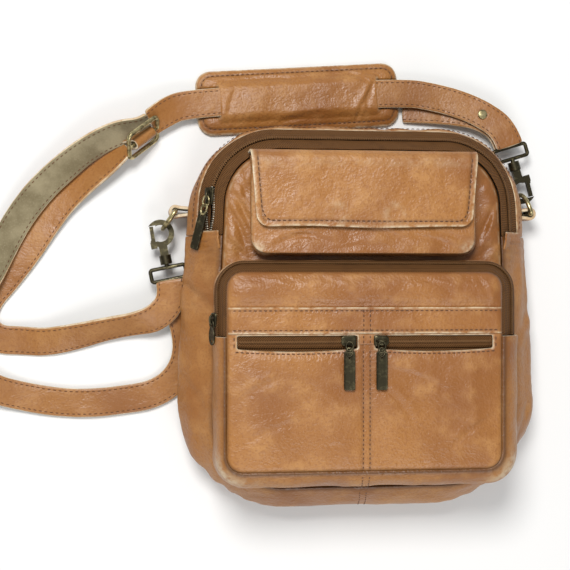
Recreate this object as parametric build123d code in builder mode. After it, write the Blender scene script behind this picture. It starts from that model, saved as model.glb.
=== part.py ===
from build123d import *
import os
from math import cos, radians, sin, tan

os.makedirs("parts", exist_ok=True)

# Leather sling bag lying on its back: +Z is the way its front faces, +Y its top, +X its right.
# The origin is the middle of the face that it rests on. Millimetres.

# ---------------------------------------------------------------- driving dimensions
LEATHER = 1.8
FABRIC = 0.6
TAPE = 1.0
GAP = 0.3
LINING_GAP = 0.2
FAR = 400.0

# The hull's outline at four heights: half width at top and bottom, top, bottom, corner radii.
BACK = (0.0, 104.0, 108.0, 116.0, -116.0, 55.0, 55.0)
BELLY = (28.0, 130.0, 144.0, 145.0, -145.0, 75.0, 85.0)
REAR_EDGE = (42.0, 119.0, 138.0, 143.0, -141.0, 57.0, 80.0)
FRONT_EDGE = (60.0, 103.0, 114.0, 125.0, -127.0, 42.0, 50.0)
HULL = (BACK, BELLY, REAR_EDGE, FRONT_EDGE)

ZIP_END_Y = 61.0
TOOTH_ROW = 1.6
TEETH = 2.4
ROW_GAP = 1.6
LENS_TOP_Y = 98.0
LENS_GAP = 5.0
CAP_LENGTH = 9.0
MAIN_SLIDER_Y = 90.0

SLIP_HALF = 92.0
SLIP_TOP = 40.0
SLIP_BOTTOM = -92.0
SLIP_DEPTH = 4.5

POUCH_HALF = 84.0
POUCH_TOP = 107.0
POUCH_BOTTOM = 46.0
POUCH_DEPTH = 19.8
POUCH_RADIUS = 10.0

FLAP_ROOT_Y = 122.5
FLAP_TOP_HALF = 86.0
FLAP_END_HALF = 78.0
FLAP_END_Y = 66.0
FLAP_RADIUS = 8.0
FLAP_BEND = 8.0
ROOT_THICK = 1.2
ROOT_MARGIN = 4.0
MAGNET_SPACING = 42.0
MAGNET_Y = 76.0
MAGNET_DIA = 14.0
MAGNET_SOCKET_DIA = 7.0
MAGNET_STUD_DIA = 4.0
MAGNET_BASE = 1.4
MAGNET_STUD = 0.9

ORG_HALF = 112.0
ORG_TOP = 41.5
ORG_BOTTOM = -122.0
ORG_RADIUS = 20.0
ORG_WALL_TOP = 82.0
ORG_PANEL_HALF = 101.0
ORG_PANEL_TOP = 34.0
ORG_PANEL_BOTTOM = -110.0
ORG_PANEL_RADIUS = 12.0
ORG_PANEL_Z = 92.0
ORG_ZIP_END_Y = -13.0
ORG_ZIP_Z = 76.0
ORG_POCKET_DEPTH = 6.0
ORG_PUFF = 2.6
PUFF_SIDE = 5.0
PUFF_EDGE = 2.0
PUFF_RADIUS = 6.0
PUFF_TAPER = 30
ORG_TAPE_SHOWN = 6.0
ORG_SLIDER_Y = -1.0

BAND_TOP = 9.0
BAND_BOTTOM = -9.6
BAND_THICK = 1.6
SLOT_Y = -16.0
SLOT_HEIGHT = 10.0
SLOT_INNER = 5.0
SLOT_MARGIN = 9.0
SLOT_OUTER = ORG_PANEL_HALF - SLOT_MARGIN
TAB_HALF = 6.0
TAB_DROP = 1.0
TAB_RADIUS = 1.5
TAPE_BORDER = 6.0
TAPE_OVER = 1.0
TEETH_END = 3.0

SLIDER_LENGTH = 11.0
SLIDER_WIDTH = 8.4
SLIDER_PLATE = 1.2
SLIDER_CLEAR = 0.5
SLIDER_RADIUS = 1.5
BRIDGE_HEIGHT = 3.0
BRIDGE_WALL = 1.1
CHEEK_INSET = 1.2
PULL_PIN = 1.3
PULL_LENGTH = 33.0
PULL_WIDTH = 8.0
PULL_THICK = 1.4
PULL_HOLE = 2.6
PULL_RADIUS = 2.5
PULL_NECK = 1.0
PULL_WINDOW_Y = -3.2
PULL_WINDOW = 2.2
FRONT_SLIDER_REST = 8.0
MAIN_PULL_LENGTH = 36.0
SIDE_PULL_LENGTH = 22.0

STRAP_WIDTH = 22.0
STRAP_THICK = 3.0
RING_WIRE = 3.5
RING_INNER = 24.0
RING_REACH = 16.0
RING_X = 139.0
RING_Y = 80.0
RING_Z = 16.5
LOOP_WIDTH = 20.0
RING_FOOT = 3.0
SHORT = 0.05
RING_PLACES = {
    "left": (Vector(-RING_X, RING_Y, RING_Z), Vector(-0.582, -0.813, 0)),
    "right": (Vector(RING_X, RING_Y, RING_Z), Vector(-0.3, 0.954, 0)),
}

HOOK_Z = 15.5
HOOK_THICK = 4.4
HOOK_OUTER = 10.5
HOOK_INNER = 6.5
HOOK_CENTRE = 28.0
WIRE_SEAT = 0.8
SEAT_ANGLE = 40
GATE_START_ANGLE = 128
GATE_END_ANGLE = 42
GATE_WIDTH = 2.8
GATE_THICK = 3.0
GATE_PIN = 1.2
GATE_SLANT = -2
NOTCH_START = -0.4
NOTCH_END = 0.6
NOTCH_DEPTH = 3.2
PIVOT_BLOCK = (5.2, 4.6)
PIVOT_SHIFT = 3.0
PIVOT_RIM = 0.4
SHANK_SHARE = 0.7
SHANK_SINK = 1.0
POST_SETBACK = 1.2
POST_HEAD_RIM = 1.2
POST_HEAD = 1.6
POST_PLAY = 0.4
HOOK_AIMS = {"left": Vector(-0.2, 0.9798, 0), "right": Vector(0.293, -0.956, 0)}
COLLAR_START = 4.0
COLLAR_END = 11.0
COLLAR_DIA = 9.0
SWIVEL_POST = 3.4
EYE_INNER = 24.0
EYE_DEPTH = 6.5
EYE_WIRE = 3.0
EYE_BAR_U = -8.0
EYE_CORNER = 2.0
WRAP_GAP = 0.2
WRAP_RADIUS = EYE_WIRE / 2 + WRAP_GAP + STRAP_THICK / 2
LEAD = 15.0

PAD_LENGTH = 160.0
PAD_WIDTH = 50.0
PAD_RADIUS = 12.0
PAD_SHIFT = 1.5
PAD_LEATHER = 1.8
PAD_FOAM = 3.6
TUNNEL_LENGTH = 124.0
TUNNEL_WALL = 1.6
RIM = 4.0

RIVET_PLACE = (103.5, 159)
RIVET_SHANK = 3.4
RIVET_HEAD = 8.0
RIVET_HEAD_THICK = 1.2
RIVET_SINK = 0.5

ADJUSTER_LONG = 31.0
ADJUSTER_SHORT = 24.0
ADJUSTER_BAR = 3.0
ADJUSTER_RADIUS = 4.0
ADJUSTER_EDGE = 0.9
ADJUSTER_CORNER = Vector(-153, 153, 20.5)
ADJUSTER_BAR_WAY = Vector(-0.686, -0.575, 0.447)
ADJUSTER_FRAME_WAY = Vector(0.036, -0.635, -0.77)
FOLD_WIDTH = 20.0
FOLD_LEG = 14.0
FOLD_THICK = 2.2
FOLD_ROOM = 0.75
FOLD_ANGLE = 40


# ---------------------------------------------------------------- helpers for the hull
def hull_row(z):
    """The outline's values at height z, between the two rows of HULL around it."""
    for low, high in zip(HULL, HULL[1:]):
        if z <= high[0]:
            share = (z - low[0]) / (high[0] - low[0])
            return tuple(a + (b - a) * share for a, b in zip(low, high))
    return HULL[-1]


def hull_outline(z, inset=0.0):
    """A face: the hull's outline at height z, moved inwards by inset."""
    height, half_top, half_bottom, top, bottom, r_top, r_bottom = hull_row(z)
    with BuildSketch(Plane.XY.offset(height)) as face:
        with BuildLine():
            Polyline(
                (-half_bottom + inset, bottom + inset),
                (half_bottom - inset, bottom + inset),
                (half_top - inset, top - inset),
                (-half_top + inset, top - inset),
                close=True,
            )
        make_face()
        fillet(face.vertices().group_by(Axis.Y)[-1], r_top - inset)
        fillet(face.vertices().group_by(Axis.Y)[0], r_bottom - inset)
    return face.sketch


def hull_heights(low, high):
    return [low] + [row[0] for row in HULL if low < row[0] < high] + [high]


def hull_solid(low, high, inset=0.0):
    with BuildPart() as solid:
        loft([hull_outline(z, inset) for z in hull_heights(low, high)], ruled=True)
    return solid.part


def hull_wall(low, high, outside, inside):
    """A ring of wall between two insets of the hull, from one height to another."""
    with BuildPart() as wall:
        add(hull_solid(low, high, outside))
        add(hull_solid(low, high, inside), mode=Mode.SUBTRACT)
    return wall.part


def save(piece, name):
    piece.part.label = name
    export_step(piece.part, f"parts/{name}.step")


above_zip_end = Plane.XZ.offset(-ZIP_END_Y)
ZIP_MID = (REAR_EDGE[0] + FRONT_EDGE[0]) / 2

# ---------------------------------------------------------------- bag body
with BuildPart() as back_panel:
    add(hull_solid(0, LEATHER, LEATHER))
save(back_panel, "back_panel")

with BuildPart() as side_and_bottom_gusset:
    add(hull_wall(0, FRONT_EDGE[0], 0, LEATHER))
    split(bisect_by=above_zip_end, keep=Keep.TOP)
save(side_and_bottom_gusset, "side_and_bottom_gusset")

with BuildPart() as rear_top_strip:
    add(hull_wall(0, REAR_EDGE[0], 0, LEATHER))
    split(bisect_by=above_zip_end, keep=Keep.BOTTOM)
save(rear_top_strip, "rear_top_strip")

with BuildPart() as front_panel:
    add(hull_solid(FRONT_EDGE[0] - LEATHER, FRONT_EDGE[0], LEATHER))
save(front_panel, "front_panel")

# The zip goes round the top. Its two tapes leave room for the teeth, and on the left they
# gape between the slider and the zip's end.
lower_row = ZIP_MID - ROW_GAP / 2 - TOOTH_ROW
upper_row = ZIP_MID + ROW_GAP / 2
gape = (LENS_GAP - ROW_GAP) / 2


def lens_box(low, high):
    """Room round the gaping stretch of the main zip, between two heights."""
    with BuildPart() as room:
        with Locations((-FAR / 2, (ZIP_END_Y + LENS_TOP_Y) / 2, (low + high) / 2)):
            Box(FAR, LENS_TOP_Y - ZIP_END_Y, high - low)
    return room.part


with BuildPart() as main_zip_tape_rear:
    add(hull_wall(REAR_EDGE[0], lower_row, 0, TAPE))
    split(bisect_by=above_zip_end, keep=Keep.BOTTOM)
    add(lens_box(lower_row - gape, ZIP_MID), mode=Mode.SUBTRACT)
save(main_zip_tape_rear, "main_zip_tape_rear")

with BuildPart() as main_zip_tape_front:
    add(hull_wall(upper_row + TOOTH_ROW, FRONT_EDGE[0], 0, TAPE))
    split(bisect_by=above_zip_end, keep=Keep.BOTTOM)
    add(lens_box(ZIP_MID, upper_row + TOOTH_ROW + gape), mode=Mode.SUBTRACT)
save(main_zip_tape_front, "main_zip_tape_front")

with BuildPart() as main_zip_teeth:
    for row in (lower_row, upper_row):
        add(hull_wall(row, row + TOOTH_ROW, -TEETH / 4, TEETH * 3 / 4))
    add(lens_box(lower_row, upper_row + TOOTH_ROW), mode=Mode.SUBTRACT)
    for row in (lower_row - gape, upper_row + gape):
        with BuildPart(mode=Mode.PRIVATE) as open_row:
            add(hull_wall(row, row + TOOTH_ROW, -TEETH / 4, TEETH * 3 / 4))
            add(lens_box(row, row + TOOTH_ROW), mode=Mode.INTERSECT)
        add(open_row.part)
    split(bisect_by=above_zip_end, keep=Keep.BOTTOM)
save(main_zip_teeth, "main_zip_teeth")

with BuildPart() as main_zip_end_caps:
    for side in (-1, 1):
        with BuildPart(mode=Mode.PRIVATE) as cap:
            add(hull_wall(REAR_EDGE[0], FRONT_EDGE[0], -TEETH / 4 - LEATHER, -TEETH / 4))
            with Locations((side * FAR / 2, ZIP_END_Y, ZIP_MID)):
                Box(FAR, CAP_LENGTH, FAR, mode=Mode.INTERSECT)
        add(cap.part)
save(main_zip_end_caps, "main_zip_end_caps")

with BuildPart() as lining:
    add(hull_solid(LEATHER, REAR_EDGE[0] - LEATHER, LEATHER + LINING_GAP))
    inner = LEATHER + LINING_GAP + FABRIC
    add(hull_solid(LEATHER + FABRIC, REAR_EDGE[0] - LEATHER, inner), mode=Mode.SUBTRACT)
save(lining, "lining")

slip_low = LEATHER + FABRIC
with BuildPart() as slip_pocket:
    with BuildSketch(Plane.XY.offset(slip_low)):
        with Locations((0, (SLIP_TOP + SLIP_BOTTOM) / 2)):
            Rectangle(2 * SLIP_HALF, SLIP_TOP - SLIP_BOTTOM)
    extrude(amount=SLIP_DEPTH + FABRIC)
    with BuildSketch(Plane.XY.offset(slip_low)):
        with Locations((0, (SLIP_TOP + SLIP_BOTTOM) / 2 + FABRIC)):
            Rectangle(2 * SLIP_HALF - 2 * FABRIC, SLIP_TOP - SLIP_BOTTOM)
    extrude(amount=SLIP_DEPTH, mode=Mode.SUBTRACT)
save(slip_pocket, "slip_pocket")

# ---------------------------------------------------------------- upper pouch and flap
face_z = FRONT_EDGE[0]
pouch_z = face_z + POUCH_DEPTH
pouch_mid = (POUCH_TOP + POUCH_BOTTOM) / 2


def pouch_outline(z, inset, top_inset):
    """The pouch's outline: its bottom corners round, its top straight and open."""
    with BuildSketch(Plane.XY.offset(z)) as face:
        with Locations((0, pouch_mid + (inset - top_inset) / 2)):
            Rectangle(2 * (POUCH_HALF - inset), POUCH_TOP - POUCH_BOTTOM - inset - top_inset)
        fillet(face.vertices().group_by(Axis.Y)[0], POUCH_RADIUS - inset)
    return face.sketch


with BuildPart() as pouch_gusset:
    extrude(pouch_outline(face_z, 0, 0), amount=POUCH_DEPTH - LEATHER)
    extrude(pouch_outline(face_z, LEATHER, 0), amount=POUCH_DEPTH - LEATHER, mode=Mode.SUBTRACT)
save(pouch_gusset, "pouch_gusset")

with BuildPart() as pouch_front:
    extrude(pouch_outline(pouch_z - LEATHER, 0, 0), amount=LEATHER)
save(pouch_front, "pouch_front")

magnet_places = [(-MAGNET_SPACING / 2, MAGNET_Y), (MAGNET_SPACING / 2, MAGNET_Y)]
with BuildPart() as pouch_magnets:
    with BuildSketch(Plane.XY.offset(pouch_z)):
        with Locations(magnet_places):
            Circle(MAGNET_DIA / 2)
            Circle(MAGNET_SOCKET_DIA / 2, mode=Mode.SUBTRACT)
    extrude(amount=MAGNET_BASE)
save(pouch_magnets, "pouch_magnets")

flap_magnet_z = pouch_z + MAGNET_BASE + GAP
flap_low = flap_magnet_z + MAGNET_BASE
with BuildPart() as flap_magnets:
    with BuildSketch(Plane.XY.offset(flap_magnet_z)):
        with Locations(magnet_places):
            Circle(MAGNET_DIA / 2)
    extrude(amount=MAGNET_BASE)
    with BuildSketch(Plane.XY.offset(flap_magnet_z - MAGNET_STUD)):
        with Locations(magnet_places):
            Circle(MAGNET_STUD_DIA / 2)
    extrude(amount=MAGNET_STUD)
save(flap_magnets, "flap_magnets")

with BuildPart() as flap_root_strip:
    with BuildSketch(Plane.XY.offset(face_z)):
        with Locations((0, FLAP_ROOT_Y - LEATHER)):
            Rectangle(2 * (FLAP_TOP_HALF - ROOT_MARGIN), 2 * LEATHER)
    extrude(amount=ROOT_THICK)
save(flap_root_strip, "flap_root_strip")

flap_start = face_z + ROOT_THICK + GAP
with BuildPart() as flap:
    with BuildSketch(Plane.YZ) as side:
        with BuildLine():
            FilletPolyline(
                (FLAP_ROOT_Y, flap_start),
                (FLAP_ROOT_Y, flap_low + LEATHER),
                (FLAP_END_Y, flap_low + LEATHER),
                radius=FLAP_BEND,
            )
            Line((FLAP_END_Y, flap_low + LEATHER), (FLAP_END_Y, flap_low))
            FilletPolyline(
                (FLAP_END_Y, flap_low),
                (FLAP_ROOT_Y - LEATHER, flap_low),
                (FLAP_ROOT_Y - LEATHER, flap_start),
                radius=FLAP_BEND - LEATHER,
            )
            Line((FLAP_ROOT_Y - LEATHER, flap_start), (FLAP_ROOT_Y, flap_start))
        make_face()
    extrude(amount=FLAP_TOP_HALF, both=True)
    with BuildSketch(Plane.XY.offset(face_z)) as plan:
        with BuildLine():
            Polyline(
                (-FLAP_TOP_HALF, FLAP_ROOT_Y),
                (-FLAP_END_HALF, FLAP_END_Y),
                (FLAP_END_HALF, FLAP_END_Y),
                (FLAP_TOP_HALF, FLAP_ROOT_Y),
                close=True,
            )
        make_face()
        fillet(plan.vertices().group_by(Axis.Y)[0], FLAP_RADIUS)
    extrude(amount=FAR, mode=Mode.INTERSECT)
save(flap, "flap")


# ---------------------------------------------------------------- lower box pocket
def org_outline(z, half, top, bottom, radius, inset=0.0):
    with BuildSketch(Plane.XY.offset(z)) as face:
        with Locations((0, (top + bottom) / 2)):
            RectangleRounded(2 * (half - inset), top - bottom - 2 * inset, radius - inset)
    return face.sketch


def org_wall(low, high, inset=0.0):
    """The box pocket's outer form: upright to ORG_WALL_TOP, then leaning in to its panel."""
    rows = []
    for z in [low] + ([ORG_WALL_TOP] if low < ORG_WALL_TOP < high else []) + [high]:
        share = max(0.0, (z - ORG_WALL_TOP) / (ORG_PANEL_Z - ORG_WALL_TOP))
        half = ORG_HALF + (ORG_PANEL_HALF - ORG_HALF) * share
        top = ORG_TOP + (ORG_PANEL_TOP - ORG_TOP) * share
        bottom = ORG_BOTTOM + (ORG_PANEL_BOTTOM - ORG_BOTTOM) * share
        radius = ORG_RADIUS + (ORG_PANEL_RADIUS - ORG_RADIUS) * share
        rows.append(org_outline(z, half, top, bottom, radius, inset))
    with BuildPart() as solid:
        loft(rows, ruled=True)
    return solid.part


def org_ring(low, high, outside, inside):
    with BuildPart() as ring:
        add(org_wall(low, high, outside))
        add(org_wall(low, high, inside), mode=Mode.SUBTRACT)
    return ring.part


above_org_end = Plane.XZ.offset(-ORG_ZIP_END_Y)
org_lower_row = ORG_ZIP_Z - ROW_GAP / 2 - TOOTH_ROW
org_upper_row = ORG_ZIP_Z + ROW_GAP / 2
strip_top = org_lower_row - ORG_TAPE_SHOWN

with BuildPart() as organiser_gusset:
    add(org_ring(face_z, ORG_PANEL_Z, 0, LEATHER))
    split(bisect_by=above_org_end, keep=Keep.TOP)
save(organiser_gusset, "organiser_gusset")

with BuildPart() as organiser_rear_strip:
    add(org_ring(face_z, strip_top, 0, LEATHER))
    split(bisect_by=above_org_end, keep=Keep.BOTTOM)
save(organiser_rear_strip, "organiser_rear_strip")

with BuildPart() as organiser_zip_tape_rear:
    add(org_ring(strip_top, org_lower_row, 0, TAPE))
    split(bisect_by=above_org_end, keep=Keep.BOTTOM)
save(organiser_zip_tape_rear, "organiser_zip_tape_rear")

with BuildPart() as organiser_zip_tape_front:
    add(org_ring(org_upper_row + TOOTH_ROW, ORG_PANEL_Z, 0, TAPE))
    split(bisect_by=above_org_end, keep=Keep.BOTTOM)
save(organiser_zip_tape_front, "organiser_zip_tape_front")

with BuildPart() as organiser_zip_teeth:
    for row in (org_lower_row, org_upper_row):
        add(org_ring(row, row + TOOTH_ROW, -TEETH / 4, TEETH * 3 / 4))
    split(bisect_by=above_org_end, keep=Keep.BOTTOM)
save(organiser_zip_teeth, "organiser_zip_teeth")

backing_z = ORG_PANEL_Z - ORG_POCKET_DEPTH - FABRIC
with BuildPart() as organiser_backing:
    add(org_wall(backing_z, backing_z + FABRIC, LEATHER))
save(organiser_backing, "organiser_backing")


def front_panel_piece(low_y, high_y, thick):
    """A plate of the box pocket's front between two heights of it."""
    with BuildPart() as plate:
        rim = (ORG_PANEL_HALF, ORG_PANEL_TOP, ORG_PANEL_BOTTOM, ORG_PANEL_RADIUS)
        extrude(org_outline(ORG_PANEL_Z, *rim), amount=thick)
        with Locations((0, (low_y + high_y) / 2, ORG_PANEL_Z)):
            Box(FAR, high_y - low_y, FAR, mode=Mode.INTERSECT)
    return plate.part


band_mid = (BAND_TOP + BAND_BOTTOM) / 2
with BuildPart() as organiser_top_panel:
    add(front_panel_piece(band_mid, ORG_PANEL_TOP, LEATHER))
    with BuildSketch(Plane.XY.offset(ORG_PANEL_Z + LEATHER)):
        with Locations((0, (BAND_TOP + ORG_PANEL_TOP) / 2)):
            RectangleRounded(
                2 * (ORG_PANEL_HALF - PUFF_SIDE), ORG_PANEL_TOP - BAND_TOP - 2 * PUFF_EDGE, PUFF_RADIUS
            )
    extrude(amount=ORG_PUFF, taper=PUFF_TAPER)
save(organiser_top_panel, "organiser_top_panel")

slot_length = SLOT_OUTER - SLOT_INNER
slot_places = [(-(SLOT_OUTER + SLOT_INNER) / 2, SLOT_Y), ((SLOT_OUTER + SLOT_INNER) / 2, SLOT_Y)]
with BuildPart() as organiser_lower_panel:
    add(front_panel_piece(ORG_PANEL_BOTTOM, band_mid, LEATHER))
    with BuildSketch(Plane.XY.offset(ORG_PANEL_Z)):
        with Locations(slot_places):
            SlotOverall(slot_length, SLOT_HEIGHT)
    extrude(amount=LEATHER, mode=Mode.SUBTRACT)
save(organiser_lower_panel, "organiser_lower_panel")

band_z = ORG_PANEL_Z + LEATHER
with BuildPart() as organiser_band:
    with BuildSketch(Plane.XY.offset(band_z)):
        with Locations((0, band_mid)):
            Rectangle(2 * ORG_PANEL_HALF, BAND_TOP - BAND_BOTTOM)
    extrude(amount=BAND_THICK)
save(organiser_band, "organiser_band")

with BuildPart() as organiser_centre_tab:
    with BuildSketch(Plane.XY.offset(band_z)):
        with Locations((0, SLOT_Y - TAB_DROP)):
            RectangleRounded(2 * TAB_HALF, SLOT_HEIGHT, TAB_RADIUS)
    extrude(amount=BAND_THICK)
save(organiser_centre_tab, "organiser_centre_tab")

# Each flat pocket's zip: a tape behind the slot, with its two rows of teeth in the slot.
for name, (slot_x, slot_y) in zip(("left", "right"), slot_places):
    with BuildPart() as tape:
        with BuildSketch(Plane.XY.offset(ORG_PANEL_Z - TAPE)):
            with Locations((slot_x, slot_y)):
                Rectangle(slot_length + 2 * TAPE_OVER, SLOT_HEIGHT + 2 * TAPE_BORDER)
                Rectangle(slot_length - 2 * TAPE_OVER, ROW_GAP, mode=Mode.SUBTRACT)
        extrude(amount=TAPE)
    save(tape, f"{name}_front_zip_tape")
    with BuildPart() as teeth:
        with BuildSketch(Plane.XY.offset(ORG_PANEL_Z)):
            for side in (-1, 1):
                with Locations((slot_x, slot_y + side * (ROW_GAP + TOOTH_ROW) / 2)):
                    Rectangle(slot_length - 2 * TEETH_END, TOOTH_ROW)
        extrude(amount=TOOTH_ROW)
    save(teeth, f"{name}_front_zip_teeth")


# ---------------------------------------------------------------- zip sliders and pulls
def make_slider(plane, above, below, name, pull_plane=None):
    """A zip slider on the zip's middle plane: x across the zip, y along it, z outwards.

    above and below are how far the zip reaches out of that plane on each side. The pull
    hangs along its own plane's -y, which is the slider's plane unless another is given.
    """
    pull_plane = pull_plane or plane
    low = -below - SLIDER_CLEAR - SLIDER_PLATE
    high = above + SLIDER_CLEAR
    bridge = high + SLIDER_PLATE
    post = ROW_GAP - 2 * GAP
    with BuildPart(plane) as slider:
        for bottom in (low, high):
            with BuildSketch(plane.offset(bottom)):
                RectangleRounded(SLIDER_WIDTH, SLIDER_LENGTH, SLIDER_RADIUS)
            extrude(amount=SLIDER_PLATE)
        with BuildSketch(plane.offset(low + SLIDER_PLATE)):
            with Locations((0, SLIDER_LENGTH / 4)):
                Rectangle(post, SLIDER_LENGTH / 3)
        extrude(amount=high - low - SLIDER_PLATE)
        side_x = PULL_WIDTH / 2 - CHEEK_INSET
        for side in (-1, 1):
            with BuildSketch(pull_plane.offset(bridge)):
                with Locations((side * side_x, 0)):
                    Rectangle(BRIDGE_WALL, SLIDER_LENGTH / 2)
            extrude(amount=BRIDGE_HEIGHT)
    save(slider, name)
    return bridge + BRIDGE_HEIGHT / 2


def make_pull(plane, axis_z, length, name, reach=SLIDER_LENGTH / 2, oval=False):
    """A pull on its slider: a cross bar between the bridge's cheeks and a flat bar with a hole."""
    inner = PULL_WIDTH - 2 * CHEEK_INSET - BRIDGE_WALL - 2 * GAP
    tab_top = -reach - PULL_NECK
    with BuildPart(plane) as pull:
        with BuildSketch(plane.offset(axis_z - PULL_THICK / 2)):
            with Locations((0, tab_top / 2)):
                Rectangle(inner, -tab_top + PULL_PIN)
            with Locations((0, tab_top - length / 2)):
                if oval:
                    Ellipse(PULL_WIDTH / 2, length / 2 + PULL_NECK)
                else:
                    RectangleRounded(PULL_WIDTH, length, PULL_RADIUS)
            with Locations((0, tab_top - length + PULL_WIDTH / 2)):
                Circle(PULL_HOLE / 2, mode=Mode.SUBTRACT)
            with Locations((0, PULL_WINDOW_Y)):
                Rectangle(inner - PULL_WINDOW, PULL_WINDOW, mode=Mode.SUBTRACT)
        extrude(amount=PULL_THICK)
    save(pull, name)


def zip_point(z, y):
    """The main zip's outer face at height z and place y, on the straight of its left side."""
    half_top, half_bottom, top, bottom = hull_row(z)[1:5]
    slope = (half_bottom - half_top) / (top - bottom)
    return Vector(-(half_top + slope * (top - y)), y, z)


zip_rear = zip_point(REAR_EDGE[0], MAIN_SLIDER_Y)
across = (zip_point(FRONT_EDGE[0], MAIN_SLIDER_Y) - zip_rear).normalized()
along = (zip_point(ZIP_MID, MAIN_SLIDER_Y) - zip_point(ZIP_MID, ZIP_END_Y)).normalized()
outwards = across.cross(along)
main_plane = Plane(zip_point(ZIP_MID, MAIN_SLIDER_Y), x_dir=across, z_dir=outwards)
pin_z = make_slider(main_plane, TEETH / 4, TEETH * 3 / 4, "main_zip_slider")
make_pull(main_plane, pin_z, MAIN_PULL_LENGTH, "main_zip_pull")

side_plane = Plane((-ORG_HALF, ORG_SLIDER_Y, ORG_ZIP_Z), x_dir=(0, 0, 1), z_dir=(-1, 0, 0))
pin_z = make_slider(side_plane, TEETH / 4, TEETH * 3 / 4, "organiser_zip_slider")
make_pull(side_plane, pin_z, SIDE_PULL_LENGTH, "organiser_zip_pull", oval=True)

for name, side in (("left", -1), ("right", 1)):
    place = (side * (SLOT_INNER + FRONT_SLIDER_REST), SLOT_Y, ORG_PANEL_Z)
    slider_plane = Plane(place, x_dir=(0, 1, 0), z_dir=(0, 0, 1))
    hang_plane = Plane(place, x_dir=(1, 0, 0), z_dir=(0, 0, 1))
    pin_z = make_slider(
        slider_plane, TOOTH_ROW, TAPE, f"{name}_front_zip_slider", pull_plane=hang_plane
    )
    pull_name = f"{name}_front_zip_pull"
    make_pull(hang_plane, pin_z, PULL_LENGTH, pull_name, reach=SLIDER_WIDTH / 2)


# ---------------------------------------------------------------- strap hardware on the bag
def wire_loop(plane, corners, radii, wire, name=None):
    """A closed loop of round wire through the given corners of a plane."""
    with BuildPart() as loop:
        with BuildLine(plane) as line:
            FilletPolyline(*corners, radius=radii, close=True)
        with BuildSketch(Plane(line.line @ 0, z_dir=line.line % 0)):
            Circle(wire / 2)
        sweep(path=line.line)
    if name:
        save(loop, name)
    return loop.part


ring_half = (RING_INNER + RING_WIRE) / 2
bow = ring_half - SHORT
foot = min(RING_REACH - bow - SHORT, RING_FOOT)
loop_radius = RING_WIRE / 2 + GAP + LEATHER
for name, (centre, reach) in RING_PLACES.items():
    ring_plane = Plane(centre, x_dir=reach, z_dir=reach.cross(Vector(0, 0, 1)))
    ring_corners = [
        (0, -ring_half),
        (RING_REACH, -ring_half),
        (RING_REACH, ring_half),
        (0, ring_half),
    ]
    wire_loop(ring_plane, ring_corners, [foot, bow, bow, foot], RING_WIRE, f"{name}_d_ring")
    inwards = -1 if name == "right" else 1
    with BuildPart() as ring_loop:
        loop_base = Plane.XY.offset(RING_Z - LOOP_WIDTH / 2)
        with BuildSketch(loop_base):
            with Locations((centre.X, centre.Y)):
                Circle(loop_radius)
            with Locations((centre.X + inwards * RING_X / 4, centre.Y)):
                Rectangle(RING_X / 2, 2 * LEATHER)
            with Locations((centre.X, centre.Y)):
                Circle(RING_WIRE / 2 + GAP, mode=Mode.SUBTRACT)
        extrude(amount=LOOP_WIDTH)
        add(hull_solid(0, REAR_EDGE[0], 0), mode=Mode.SUBTRACT)
    save(ring_loop, f"{name}_ring_loop")

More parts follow.
